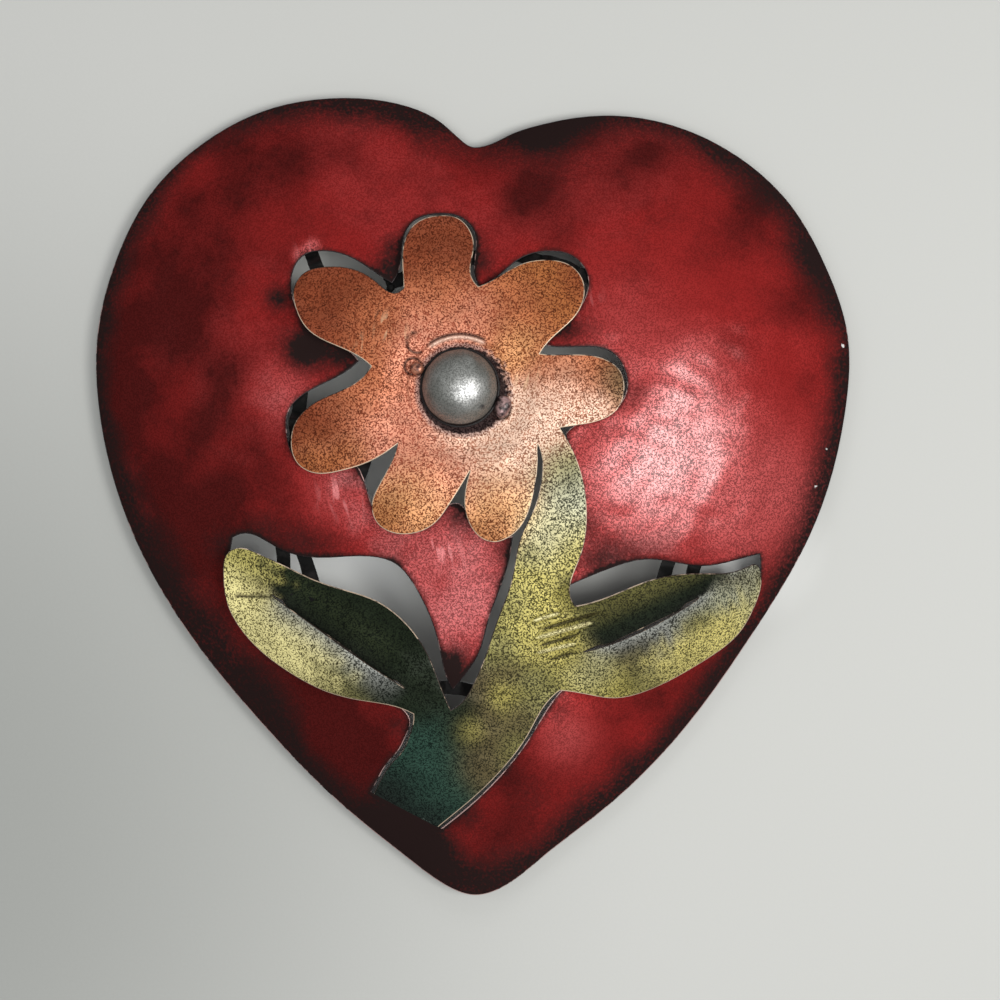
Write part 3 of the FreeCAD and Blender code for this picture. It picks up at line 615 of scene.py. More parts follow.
def lump(middle, sizes, seed, uneven, rings=18, steps=26):
    """A drop of weld: an uneven low mound on the sheet, middle and half sizes in mm."""
    rng = np.random.default_rng(seed)
    knobs = [(rng.normal(size=3), rng.uniform(0.6, 1.0)) for _ in range(7)]
    verts, faces = [], between_rings(rings, steps)
    for ring in range(rings):
        tilt = math.pi * (ring + 1) / (rings + 1)
        for step in range(steps):
            turn = math.tau * step / steps
            way = np.array([math.sin(tilt) * math.cos(turn), -math.cos(tilt),
                            math.sin(tilt) * math.sin(turn)])
            bulge = 1.0
            for knob, power in knobs:
                near = way @ (knob / np.linalg.norm(knob)) - 1.0
                bulge += uneven * power * math.exp(4.0 * near)
            verts.append(np.array(middle) + way * np.array(sizes) * bulge)
    verts += [np.array(middle) + np.array([0, y, 0]) for y in (-sizes[1], sizes[1])]
    faces += [face[::-1] for face in fan(0, rings * steps, steps)]
    return verts, faces + fan((rings - 1) * steps, rings * steps + 1, steps)


def weld_lump(name, node, sizes, seed, uneven):
    low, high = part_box(node)
    middle = [(low[k] + high[k]) / 2 / MM for k in range(3)]
    middle[1] = high[1] / MM - 0.9
    verts, faces = lump(middle, sizes, seed, uneven)
    made = make_mesh(name, verts, faces)
    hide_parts(node)
    return made


weld_left = weld_lump("weld_left", "cap_tack_left", (2.3, 1.5, 2.3), 4, 0.08)
weld_right = weld_lump("weld_right", "cap_tack_right", (2.6, 1.8, 3.0), 9, 0.24)

# Small weld beads where the straps meet the backs of the two sheets.
STRAP_ENDS = [
    [(-0.222, 0.289), (-0.190, 0.223)], [(-0.112, 0.223), (0.019, 0.262)],
    [(0.039, 0.265), (0.166, 0.226)], [(-0.217, 0.117), (-0.231, -0.012)],
    [(-0.155, -0.031), (-0.127, 0.034)], [(-0.248, -0.076), (-0.238, -0.152)],
    [(-0.226, -0.082), (-0.198, -0.156)], [(0.258, -0.092), (0.236, -0.146)],
    [(0.294, -0.094), (0.272, -0.148)], [(-0.066, -0.261), (0.026, -0.268)],
]


def sheet_back(across, up):
    """Back y of whichever sheet lies at a place."""
    here = np.array([[across, up]])
    law = spray_height if inside(SPRAY_LOOPS, here)[0] else heart_height
    return FRONT_Y + GAUGE - float(law(np.array([across]), np.array([up]))[0])


bead_verts, bead_faces = [], []
for number, pair in enumerate(STRAP_ENDS):
    ends = [(s[0] * WIDTH, s[1] * HEIGHT) for s in pair]
    length = math.dist(*ends)
    run = ((ends[1][0] - ends[0][0]) / length, (ends[1][1] - ends[0][1]) / length)
    for end, sense in ((ends[0], 1.0), (ends[1], -1.0)):
        for side in (-1.9, 1.9):
            place = (end[0] + sense * run[0] * 1.2 - run[1] * side,
                     end[1] + sense * run[1] * 1.2 + run[0] * side)
            middle = (place[0] + CROWN[0], sheet_back(*place) + 0.75, place[1] + CROWN[1])
            seed = number * 7 + 3 + int(side)
            verts, faces = lump(middle, (1.5, 1.15, 1.5), seed, 0.12, 8, 14)
            offset = len(bead_verts)
            bead_verts += verts
            bead_faces += [tuple(v + offset for v in face) for face in faces]
beads = make_mesh("strap_welds", bead_verts, bead_faces)

# ---- paint: where the airbrush went, with painted light and shade ----

# Black round the rim, each ten degrees from the crown: where it begins to thin and where it
# has gone, mm.
RIM_BAND = [(1, 17), (1, 18), (0, 15), (2, 20), (-1, 17), (2, 21), (-1, 12), (-2, 18), (4, 20),
            (-9, 12), (4, 22), (1, 20), (-2, 16), (-3, 10), (-1, 14), (0, 14), (1, 13), (1, 8),
            (2, 18), (2, 22), (4, 22), (6, 30), (5, 30), (6, 30), (2, 12), (1, 16), (8, 32),
            (8, 20), (0, 15), (2, 21), (3, 16), (-1, 15), (1, 16), (1, 14), (-1, 17), (0, 17)]
# Spots on the heart: black, partly airbrush and partly painted shade; dull dark red, partly
# mottling and partly painted shade; painted highlights in bright red. x, y, reach in pixels of
# the photograph, strength.
# Black spots: airbrushed black, and painted shade in the crotches by the petals, the stem and the
# leaves and at the edges of the gaps.
BLACK_AND_SHADE_SPOTS = [(318, 345, 26, 0.9), (345, 357, 14, 0.8), (300, 350, 20, 0.8), (392, 272, 14, 0.9),
        (378, 262, 16, 0.4), (395, 246, 13, 0.8), (278, 298, 14, 1.0), (481, 262, 15, 0.8),
        (476, 238, 12, 0.4), (566, 330, 14, 0.8), (590, 330, 16, 0.35), (366, 468, 13, 0.8),
        (350, 478, 14, 0.3), (458, 512, 12, 0.8), (455, 528, 12, 0.3), (600, 562, 20, 0.7),
        (590, 525, 14, 0.4), (625, 556, 22, 0.35), (508, 552, 12, 0.7), (500, 580, 12, 0.4),
        (300, 540, 20, 0.6), (262, 530, 18, 0.6), (395, 560, 12, 0.4), (330, 548, 22, 0.4),
        (447, 660, 14, 0.7), (456, 678, 15, 1.0), (700, 556, 20, 0.2), (745, 553, 16, 0.25),
        (225, 545, 18, 0.6), (400, 726, 12, 0.5), (560, 712, 12, 0.4), (470, 815, 14, 0.5),
        (560, 150, 40, 0.25), (545, 135, 30, 0.2), (430, 830, 40, 0.3), (395, 800, 30, 0.35),
        (800, 260, 30, 0.15), (460, 656, 13, 0.5), (535, 800, 22, 0.3)]
# Dull spots: darker, less glossy red, partly blotchy mottling and partly painted shade on the left
# and lower flanks and beside the highlights.
DULL_AND_SHADE = [(305, 150, 42, 0.45), (520, 188, 28, 0.4), (770, 190, 30, 0.45), (645, 150, 50, 0.35),
        (530, 795, 40, 0.2), (664, 532, 26, 0.45), (400, 305, 26, 0.3), (190, 312, 42, 0.5),
        (150, 360, 60, 0.5), (205, 470, 60, 0.45), (140, 480, 60, 0.6), (240, 210, 70, 0.5),
        (170, 250, 50, 0.6), (560, 150, 55, 0.6), (620, 170, 50, 0.2), (760, 205, 60, 0.6),
        (525, 200, 36, 0.5), (805, 290, 40, 0.6), (230, 540, 60, 0.7), (180, 560, 60, 0.8),
        (280, 700, 70, 0.9), (340, 770, 60, 0.9), (640, 720, 60, 0.5), (700, 670, 50, 0.6),
        (400, 800, 60, 0.9), (520, 850, 60, 0.6), (240, 150, 50, 0.6), (300, 560, 50, 0.4),
        (115, 400, 50, 0.7), (125, 320, 36, 0.6), (180, 300, 60, 0.3), (250, 440, 50, 0.35),
        (225, 380, 40, 0.5), (340, 700, 50, 0.6), (642, 396, 20, 0.7), (640, 556, 22, 0.4),
        (560, 240, 24, 0.3), (520, 775, 40, 0.6), (470, 830, 40, 0.3), (320, 330, 40, 0.3),
        (440, 150, 40, 0.3), (340, 600, 40, 0.3)]
# Painted highlights: paler, glossier pink-red where the lamps' reflections fall, and on the curled
# edge by the upper left petal.
PAINTED_HIGHLIGHTS = [(674, 455, 60, 1.2), (690, 372, 34, 0.8), (464, 556, 28, 0.45), (474, 604, 30, 0.4),
         (566, 738, 28, 0.55), (285, 395, 26, 0.55), (345, 490, 34, 0.45), (620, 330, 50, 0.3),
         (606, 462, 34, 0.25), (400, 550, 36, 0.2), (430, 620, 36, 0.35), (775, 500, 60, 0.75),
         (300, 256, 5.5, 1.5), (308, 250, 5.5, 1.8), (314, 246, 5, 1.6), (640, 455, 46, 0.45),
         (735, 545, 26, 0.3)]


heart_flat, spray_flat = heart_spots.T, spray_spots.T
heart_x, heart_y = spot_px(*heart_flat, heart_rise)
to_rim = distance_to(heart_spots, HEART_LOOPS[0], 0.5)
to_gap = distance_to(heart_spots, HEART_LOOPS[1], 0.3)
begins, gone = [np.interp(turn_of(*heart_flat), np.arange(0, 360, 10), column, period=360)
                for column in np.array(RIM_BAND, float).T]
from_rim = to_rim + 0.6 * waves(*heart_flat, 18.0, 31)
black_and_shade = 1.0 - ramp(from_rim, begins, gone) + laid(BLACK_AND_SHADE_SPOTS, heart_x, heart_y)
# Painted shade: a dark line along the edge of the flower's opening.
black_and_shade += 0.8 * bell(to_gap, 0.9)
# Dull dark red: mottling and painted shade.
dull_and_shade = laid(DULL_AND_SHADE, heart_x, heart_y) + 0.12 * waves(*heart_flat, 26.0, 41)
set_numbers(heart, "black_and_shade", black_and_shade)
set_numbers(heart, "dull_and_shade", np.clip(dull_and_shade, 0, 1.2))
# Painted highlights on the red.
set_numbers(heart, "painted_highlight", np.clip(laid(PAINTED_HIGHLIGHTS, heart_x, heart_y), 0, 1.2))
set_numbers(heart, "chips", laid([(843, 345, 2.2, 1.0), (825, 448, 2.0, 1.0),
                                  (816, 487, 2.2, 1.0), (849, 318, 1.6, 0.8)],
                                 heart_x, heart_y))
# Wire-brush streaks, and on the curled edge by the upper left petal a painted highlight in pale
# streaks.
set_numbers(heart, "brushed", laid([(336, 494, 15, 1.0), (352, 510, 12, 0.7), (438, 545, 14, 0.8),
                                    (452, 560, 12, 0.6), (585, 300, 14, 0.4), (306, 250, 8, 0.8)],
                                   heart_x, heart_y))

# Spray: each paint has the colour of its raised grain and of the pits between.
PAINTS = {
    "copper": ((0.62, 0.20, 0.085), (0.19, 0.045, 0.018)),
    "rose": ((0.80, 0.33, 0.21), (0.30, 0.07, 0.04)),
    "brown": ((0.27, 0.062, 0.023), (0.11, 0.022, 0.009)),
    # Peach: a painted highlight where the key lamp's reflection falls on the flower.
    "peach highlight": ((1.0, 0.70, 0.53), (0.40, 0.17, 0.10)),
    "gold": ((0.88, 0.45, 0.19), (0.20, 0.06, 0.018)),
    "amber": ((0.44, 0.15, 0.042), (0.12, 0.032, 0.011)),
    "olive": ((0.24, 0.22, 0.07), (0.05, 0.046, 0.02)),
    "lime": ((0.50, 0.43, 0.11), (0.07, 0.062, 0.018)),
    "yellow": ((1.0, 0.90, 0.40), (0.11, 0.09, 0.028)),
    "straw": ((0.76, 0.66, 0.22), (0.07, 0.06, 0.02)),
    "pale": ((0.58, 0.54, 0.30), (0.07, 0.07, 0.035)),
    "moss": ((0.13, 0.10, 0.045), (0.03, 0.026, 0.014)),
    "ash": ((0.46, 0.46, 0.32), (0.05, 0.055, 0.04)),
    "grey": ((0.40, 0.41, 0.38), (0.035, 0.038, 0.036)),
    # Near-black green: painted shade on the leaves' upper halves.
    "leaf": ((0.016, 0.024, 0.012), (0.007, 0.010, 0.006)),
    "teal": ((0.035, 0.085, 0.060), (0.010, 0.022, 0.017)),
    "black": ((0.012, 0.012, 0.011), (0.006, 0.006, 0.006)),
    "mid leaf": ((0.040, 0.052, 0.022), (0.007, 0.010, 0.006)),
    "leaf tip": ((0.62, 0.55, 0.17), (0.05, 0.045, 0.015)),
    "slit lip": ((0.22, 0.23, 0.21), (0.16, 0.17, 0.155)),
    # Painted highlight on crease crests and painted shade in their troughs.
    "crest highlight": ((0.85, 0.78, 0.40), (0.20, 0.17, 0.07)),
    "trough shade": ((0.045, 0.038, 0.012), (0.02, 0.016, 0.006)),
    "scorched": ((0.42, 0.27, 0.24), (0.05, 0.025, 0.025)),
    # Painted highlight on the cap's lip; burnt black, also laid on as painted shade in grooves and
    # creases.
    "cap lip highlight": ((0.95, 0.66, 0.52), (0.80, 0.50, 0.38)),
    "burnt and shade": ((0.03, 0.012, 0.010), (0.012, 0.006, 0.006)),
}
# Where each paint was sprayed on the flower and the stem, painted highlight and shade among
# them: x, y, reach in pixels.
SPRAYED = {
    "brown": [(335, 300, 40), (310, 310, 30), (440, 245, 36), (575, 280, 18), (325, 435, 34)],
    "copper": [(375, 320, 26), (440, 300, 26), (505, 320, 34), (520, 300, 20), (588, 378, 24),
               (548, 372, 20), (360, 405, 24), (380, 370, 24)],
    "rose": [(430, 330, 26), (475, 320, 24), (408, 360, 22), (440, 470, 34), (395, 430, 34)],
    "amber": [(545, 285, 36), (495, 530, 18), (400, 520, 24), (318, 458, 18), (350, 450, 18)],
    "moss": [(611, 380, 17), (508, 673, 13), (478, 690, 14), (488, 714, 11), (518, 716, 16),
             (490, 770, 26), (480, 745, 22), (640, 645, 24), (740, 575, 16)],
    # Painted highlight on the flower's lower right.
    "peach highlight": [(594, 404, 11), (560, 397, 24), (530, 425, 30), (505, 455, 34), (463, 430, 24)],
    "gold": [(500, 500, 28), (420, 500, 30), (515, 345, 20)],
    "olive": [(556, 470, 22), (529, 556, 12), (517, 602, 14), (505, 640, 12), (506, 655, 14),
              (532, 692, 24), (515, 755, 18), (350, 690, 18), (700, 625, 22), (655, 675, 22)],
    "ash": [(564, 492, 22), (592, 672, 18), (725, 600, 20)],
    "pale": [(548, 532, 26)],
    "lime": [(572, 560, 20), (530, 590, 26), (557, 626, 24), (526, 640, 20), (580, 655, 20),
             (505, 698, 14), (470, 731, 12), (590, 680, 22), (610, 690, 18)],
    "straw": [(546, 640, 13)],
    # Near-black leaf paint: painted shade on the leaves' upper halves by their roots.
    "leaf": [(462, 712, 18), (452, 734, 14), (605, 620, 22), (444, 694, 20), (424, 704, 18),
             (400, 690, 22), (372, 680, 22), (420, 660, 18), (640, 630, 24)],
    "teal": [(440, 745, 26), (420, 780, 26), (450, 800, 22)],
    "black": [(400, 795, 22), (435, 815, 18)],
    "grey": [(665, 645, 20)],
}

# Where the flower's paint is thick enough to fill most of the pits, and painted light: paler,
# less metallic paint where the lamps light the flower, the stem and the leaves most.
THICK_AND_LIT = [(520, 425, 34, 0.7), (500, 500, 22, 0.6), (420, 498, 24, 0.5), (440, 300, 20, 0.4),
         (552, 540, 22, 0.7), (546, 632, 18, 0.5)]


def sprayed_coat(x, y):
    """Colours of the grain and of the pits at each place."""
    weight, total = np.full(len(x), 1e-9), np.zeros((2, len(x), 3))
    for paint, spots in SPRAYED.items():
        for sx, sy, reach in spots:
            share = bell(np.hypot(x - sx, y - sy), reach) + 1e-9
            weight += share
            total += share[:, None] * np.array(PAINTS[paint])[:, None, :]
    return total / weight[:, None]


def mixed(base, over, share):
    """Colours with a share of others, or of one paint's, over them."""
    over = np.asarray(over)
    over = over[:, None, :] if over.ndim == 2 else over
    return base + (over - base) * share[:, None]


spray_x, spray_y = spot_px(*spray_flat, spray_rise)
coat = sprayed_coat(spray_x, spray_y)
plain = np.zeros(len(spray_x))
thick_and_lit = laid(THICK_AND_LIT, spray_x, spray_y)
for number, leaf in enumerate(LEAVES):
    way, aside = leaf_place(leaf, *spray_flat)
    slit_way, above = slit_place(leaf, *spray_flat)
    wide = 0.12 - 0.03 * number
    on_leaf = ramp(way, 0.05, 0.22) * (1.0 - ramp(np.abs(aside), wide - 0.01, wide + 0.01))
    soft = 0.25 + 6.0 * ramp(way, 0.68, 0.82)
    upper = ramp(above / soft, -1.0, 1.0)
    grain = 0.03 * waves(*spray_flat, 7.0, 61 + number)
    low_share = ramp(way + grain, 0.17, 0.50) ** 1.3
    # Painted shade: darker grey on the lower half just under the lip.
    under_lip_shade = bell(np.minimum(above, 0.0), 7.5 - 3.0 * number) * (1.0 - ramp(way, 0.66, 0.8))
    lip_line = bell(above + 1.1, 0.5) * window(way, 0.2, 0.35, 0.70, 0.78)
    tip = ramp(way + grain, 0.70, 0.90) if number == 0 else ramp(way + grain, 0.80, 0.98)
    if number == 1:
        ragged = 0.8 * waves(way * 100, aside * 100, 6.0, 81)
        low_share = low_share * ramp(-above + ragged, 4.0, 15.0)
    low = mixed(coat, PAINTS["straw" if number else "yellow"], low_share)
    low = mixed(low, PAINTS["grey"], 0.85 * under_lip_shade)
    low = mixed(low, PAINTS["slit lip"], 0.8 * lip_line)
    # Upper half: painted shade in near-black green, with a lighter band across the left leaf's
    # middle.
    up = mixed(coat, PAINTS["leaf"], np.ones_like(way))
    if number == 1:
        low[0] = mixed(low[0], (0.45, 0.45, 0.30), 0.6 * ramp(way, 0.72, 0.95))
        up = mixed(up, PAINTS["olive"], 0.7 * ramp(aside, 0.010, 0.040))
    else:
        middle_light = bell(aside - 0.028, 0.014) * ramp(way, 0.1, 0.3)
        up = mixed(up, PAINTS["mid leaf"], 0.6 * middle_light)
    # Painted shadow of the lip: black on the upper half along the slit.
    up = mixed(up, PAINTS["black"], np.exp(-np.maximum(above, 0.0) / 2.2))
    up = mixed(up, PAINTS["grey" if number else "leaf tip"], tip)
    coat = mixed(coat, mixed(low, up, upper), on_leaf)
    plain = np.maximum(plain, on_leaf * upper * (1.0 - tip))
    # Painted light: the lower half of each leaf, lit most, is paler, with fewer pits.
    lit_low_half = on_leaf * low_share * (1.0 - upper) * (1.0 - under_lip_shade)
    thick_and_lit = np.maximum(thick_and_lit, (1.0 - 0.6 * number) * lit_low_half)
# Creases: a painted highlight on the crests and painted shade in the troughs.
crease = crease_height(*spray_flat)
coat = mixed(coat, PAINTS["crest highlight"], 0.9 * ramp(crease, 0.30, 0.75))
coat = mixed(coat, PAINTS["trough shade"], 0.9 * ramp(-crease, 0.20, 0.65))

# Round the cap: a black line of uneven width, scorched paint outside it, a painted highlight on
# the lip, and painted shade in the grooves.
SEAM = [(0, 16.9), (30, 16.0), (50, 15.3), (75, 14.7), (100, 14.6), (140, 14.6), (180, 14.5),
        (225, 15.5), (270, 16.4), (310, 17.4), (335, 18.4)]
off = (spray_spots - np.array(FLOWER)).T
away, turn = np.hypot(*off), turn_of(*off)
seam = np.interp(turn, *zip(*SEAM), period=360)
ragged = waves(*spray_flat, 2.2, 71)
right_side = bell((turn + 180) % 360 - 190, 40)
seam = seam + (0.14 + 0.55 * right_side) * ragged
coat = mixed(coat, PAINTS["scorched"], 0.75 * (1.0 - ramp(away, seam + 0.4, seam + 2.4)))
above_cap = window(turn, 58, 66, 122, 130)
# Painted highlight on the lip above the cap.
coat = mixed(coat, PAINTS["cap lip highlight"], above_cap * bell(away - 18.0, 0.75))
# Painted shade in the groove outside the lip and in the grooves round the welds.
line = above_cap * bell(away - 19.2, 0.55)
for ring in RINGS:
    line = np.maximum(line, ring_share(ring, *spray_flat, 0.5))
dark = np.maximum(1.0 - ramp(away, seam - 0.2, seam + 0.25), 0.95 * line)
# Painted shade in the crease across the left leaf's tip: a dark stroke.
stroke_way, stroke_aside = along_line(spray_x, spray_y, (230, 597), (263, 593))
crease_shade = bell(stroke_aside + 1.5 * waves(spray_x, spray_y, 14.0, 91), 1.6)
dark = np.maximum(dark, 0.8 * crease_shade * window(stroke_way, -0.05, 0.05, 0.95, 1.05))
coat = mixed(coat, PAINTS["burnt and shade"], dark)
set_colours(spray, "tint", coat[0])
set_colours(spray, "pit", coat[1])
set_numbers(spray, "plain", plain)
set_numbers(spray, "thick_and_lit", np.clip(thick_and_lit, 0, 1))
set_numbers(spray, "brushed", laid([(388, 326, 10, 1.0), (400, 336, 8, 0.6), (525, 376, 11, 0.9),
                                    (360, 345, 9, 0.4)], spray_x, spray_y))


def edge_light_share(loops, spots):
    """Painted light on a cut edge: pale where it faces down, lit from below, and dark where it
    faces up, in shade.
    """
    facing = np.concatenate([-inward(loop) for loop in loops])
    tree = tree_of(np.concatenate(loops))
    return np.array([facing[tree.find((x, y, 0.0))[1], 1] for x, y in spots])


# Cut edges of the flower: painted light by which way they face, and painted shade on the edges in
# the slits.
bare_and_lit = 0.5 - 0.5 * np.clip(edge_light_share(SPRAY_LOOPS, spray_spots) * 1.4, -1, 1)
for leaf in LEAVES:
    slit_way, above = slit_place(leaf, *spray_flat)
    way, aside = leaf_place(leaf, *spray_flat)
    in_slit = (slit_way > -0.05) & (slit_way < 1.05) & (np.abs(above) < 2.0)
    rear = (above > 4.0) & (way > 0.15) & (way < 1.0)
    bare_and_lit = np.where(in_slit, 0.12, np.where(rear, np.maximum(bare_and_lit, 0.62), bare_and_lit))
set_numbers(spray, "bare_and_lit", bare_and_lit)
foot_edge = laid([(390, 770, 18, 0.7), (404, 745, 14, 0.7)], heart_x, heart_y)
# Cut edges of the heart: painted light by which way they face, and bare metal by the stem's foot.
heart_bare_and_lit = 0.35 + 0.5 * edge_light_share(HEART_LOOPS[1:], heart_spots) + foot_edge
set_numbers(heart, "bare_and_lit", np.clip(heart_bare_and_lit, 0, 1))

# ---- materials ----


class Nodes:
    """Short names for the shader nodes used here."""

    def __init__(self, name):
        self.material = bpy.data.materials.new(name)
        self.material.use_nodes = True
        self.tree = self.material.node_tree
        self.tree.nodes.clear()
        self.out = self.node("OutputMaterial")
        self.shader = self.node("BsdfPrincipled")
        self.put(self.out.inputs["Surface"], self.shader.outputs["BSDF"])
        self.place = self.node("TexCoord").outputs["Object"]

    def node(self, kind, **inputs):
        made = self.tree.nodes.new("ShaderNode" + kind)
        for name, value in inputs.items():
            self.put(made.inputs[name.replace("_", " ")], value)
        return made

    def put(self, socket, value):
        if hasattr(value, "is_linked"):
            self.tree.links.new(value, socket)
        else:
            socket.default_value = value

    def math(self, kind, a, b=0.0, clamp=False):
        node = self.node("Math")
        node.operation = kind
        node.use_clamp = clamp
        for socket, value in zip(node.inputs, (a, b)):
            self.put(socket, value)
        return node.outputs[0]

    def plus(self, a, b):
        return self.math("ADD", a, b)

    def times(self, a, b):
        return self.math("MULTIPLY", a, b)

    def mapped_noise(self, scale, detail, rough, kind="POINT", **mapping):
        """Noise that is read where a mapping puts each place."""
        mapped = self.node("Mapping", Vector=self.place, **mapping)
        mapped.vector_type = kind
        return self.node("TexNoise", Vector=mapped.outputs[0], Scale=scale, Detail=detail,
                         Roughness=rough).outputs["Fac"]

    def noise(self, scale, detail, rough, shift=0.0):
        return self.mapped_noise(scale, detail, rough,
                                 Location=(shift, shift * 0.7, shift * 1.3))

    def ramp(self, value, low, high, out_low=0.0, out_high=1.0, kind="SMOOTHSTEP"):
        node = self.node("MapRange", Value=value, From_Min=low, From_Max=high, To_Min=out_low,
                         To_Max=out_high)
        node.interpolation_type = kind
        return node.outputs["Result"]

    def uneven(self, value, noise, amount):
        """A value that a noise pushes up and down by up to an amount."""
        return self.plus(value, self.ramp(noise, 0.3, 0.7, -amount, amount))

    def span(self, share, low, high):
        """From low to high as the share goes from nought to one."""
        return self.ramp(share, 0.0, 1.0, low, high, "LINEAR")

    def mix(self, share, a, b, kind="MIX"):
        node = self.node("Mix")
        node.data_type = "RGBA"
        node.blend_type = kind
        self.put(node.inputs["Factor"], share)
        self.put(node.inputs[6], a if hasattr(a, "is_linked") else (*a, 1.0))
        self.put(node.inputs[7], b if hasattr(b, "is_linked") else (*b, 1.0))
        return node.outputs[2]

    def painted(self, name, output="Color"):
        """What was laid on the mesh's points under a name."""
        node = self.node("Attribute")
        node.attribute_name = name
        return node.outputs[output]

    def number(self, name):
        return self.painted(name, "Fac")

    def brushed(self, paint, colour, scale, turn, share):
        """Wire-brush streaks over a paint, turned from upright, where the mesh asks for them."""
        lines = self.mapped_noise(scale, 1.0, 0.5, "TEXTURE", Scale=(1.0, 1.0, 5.0),
                                  Rotation=(0.0, math.radians(turn), 0.0))
        streaks = self.times(self.ramp(lines, 0.52, 0.62), self.number("brushed"))
        return self.mix(self.times(streaks, share), paint, colour)

    def bump(self, height, distance, strength):
        node = self.node("Bump", Strength=strength, Distance=distance, Height=height)
        self.put(self.shader.inputs["Normal"], node.outputs[0])

    def set(self, **sockets):
        for name, value in sockets.items():
            socket = self.shader.inputs[name.replace("_", " ")]
            if name == "Base_Color" and not hasattr(value, "is_linked"):
                value = (*value, 1.0)
            self.put(socket, value)
        return self.material


def worm_grain(n, thick_and_lit=None):
    """The speckle of the paint: raised grains with thin worm-like pits winding between, and
    the noise that it comes from."""
    first = n.noise(1000.0, 1.0, 0.35)
    second = n.noise(1900.0, 0.0, 0.5, 5.3)
    line = n.math("ABSOLUTE", n.math("SUBTRACT", first, 0.5))
    line = n.plus(line, n.ramp(second, 0.35, 0.65, -0.05, 0.06))
    if thick_and_lit is not None:
        line = n.plus(line, n.times(thick_and_lit, 0.02))
    return n.ramp(line, 0.0, 0.15), first


def less(n, value, share):
    """One less a share of the value."""
    return n.math("SUBTRACT", 1.0, n.times(value, share), True)


def heart_paint():
    n = Nodes("heart_red_paint")
    grain, fine = worm_grain(n)
    drift = n.noise(60.0, 3.0, 0.55, 0.3)
    blotch = n.noise(210.0, 2.0, 0.6, 0.9)
    speck = n.noise(520.0, 2.0, 0.6, 1.7)
    # Painted highlight: paler pink-red, deeper pits and a heavier clear coat where the lamps'
    # reflections fall.
    painted_highlight = n.number("painted_highlight")
    # Dull dark red: mottling and painted shade, taken back where the painted highlights are.
    dull_and_shade = n.plus(n.number("dull_and_shade"), n.ramp(drift, 0.35, 0.7, -0.1, 0.16))
    dull_and_shade = n.plus(dull_and_shade, n.ramp(blotch, 0.5, 0.72, 0.0, 0.15))
    dull_and_shade = n.math("SUBTRACT", dull_and_shade, painted_highlight, True)
    bright = n.mix(painted_highlight, (0.31, 0.0168, 0.0155), (0.60, 0.085, 0.082))
    tops = n.mix(dull_and_shade, bright, (0.078, 0.0072, 0.0066))
    depth = n.times(painted_highlight, 0.38)
    level = n.span(grain, n.math("SUBTRACT", 0.72, depth), 1.06)
    paint = n.mix(1.0, tops, level, "MULTIPLY")
    # Black airbrush and painted shade over the red.
    cover = n.uneven(n.uneven(n.number("black_and_shade"), fine, 0.09), speck, 0.07)
    cover = n.ramp(cover, 0.05, 1.0, kind="LINEAR")
    paint = n.mix(cover, paint, (0.0180, 0.0095, 0.0090))
    paint = n.brushed(paint, (0.72, 0.22, 0.22), 420.0, -12.0, 0.7)
    chips = n.ramp(n.uneven(n.number("chips"), speck, 0.2), 0.45, 0.6)
    paint = n.mix(chips, paint, (0.75, 0.72, 0.70))
    gloss = n.times(less(n, cover, 0.97), less(n, dull_and_shade, 0.9))
    gloss = n.times(gloss, n.span(grain, 0.35, 1.0))
    coat = n.times(gloss, n.span(painted_highlight, 0.12, 0.9))
    n.bump(grain, 0.00005, 0.6)
    return n.set(Base_Color=paint, Metallic=n.times(gloss, 0.4),
                 Roughness=n.span(gloss, 0.72, 0.42),
                 Specular_IOR_Level=0.04, Coat_Weight=coat, Coat_Roughness=0.28, Coat_IOR=1.8)


def spray_paint():
    n = Nodes("spray_airbrush_paint")
    # Thick paint and painted light: fewer pits and less metal.
    thick_and_lit = n.number("thick_and_lit")
    grain, _ = worm_grain(n, thick_and_lit)
    drift = n.noise(110.0, 3.0, 0.6, 0.5)
    speck = n.noise(480.0, 2.0, 0.6, 2.1)
    plain = n.number("plain")
    light = n.ramp(drift, 0.3, 0.7, 0.85, 1.12)
    tops = n.mix(1.0, n.painted("tint"), light, "MULTIPLY")
    pits = n.mix(1.0, n.painted("pit"), n.ramp(speck, 0.3, 0.7, 0.6, 1.3), "MULTIPLY")
    paint = n.mix(n.times(grain, less(n, plain, 0.3)), pits, tops)
    paint = n.brushed(paint, (1.0, 0.66, 0.40), 520.0, 14.0, 0.75)
    gloss = n.times(grain, less(n, plain, 0.97))
    n.bump(grain, 0.00005, 0.5)
    return n.set(Base_Color=paint, Metallic=n.times(gloss, n.span(thick_and_lit, 0.25, 0.0)),
                 Roughness=n.span(gloss, 0.7, 0.42), Specular_IOR_Level=0.04,
                 Coat_Weight=n.times(gloss, 0.3), Coat_Roughness=0.34)


def cut_edge(name, pale, dark):
    n = Nodes(name)
    mottle = n.noise(500.0, 2.0, 0.6, 0.2)
    burn = n.noise(130.0, 2.0, 0.6, 1.2)
    # Bare metal and painted light on the cut edge.
    share = n.uneven(n.number("bare_and_lit"), mottle, 0.25)
    share = n.ramp(n.plus(share, n.ramp(burn, 0.35, 0.65, -0.25, 0.2)), 0.25, 0.75)
    n.bump(mottle, 0.00008, 0.5)
    return n.set(Base_Color=n.mix(share, dark, pale), Metallic=0.45,
                 Roughness=n.ramp(burn, 0.3, 0.7, 0.38, 0.6))


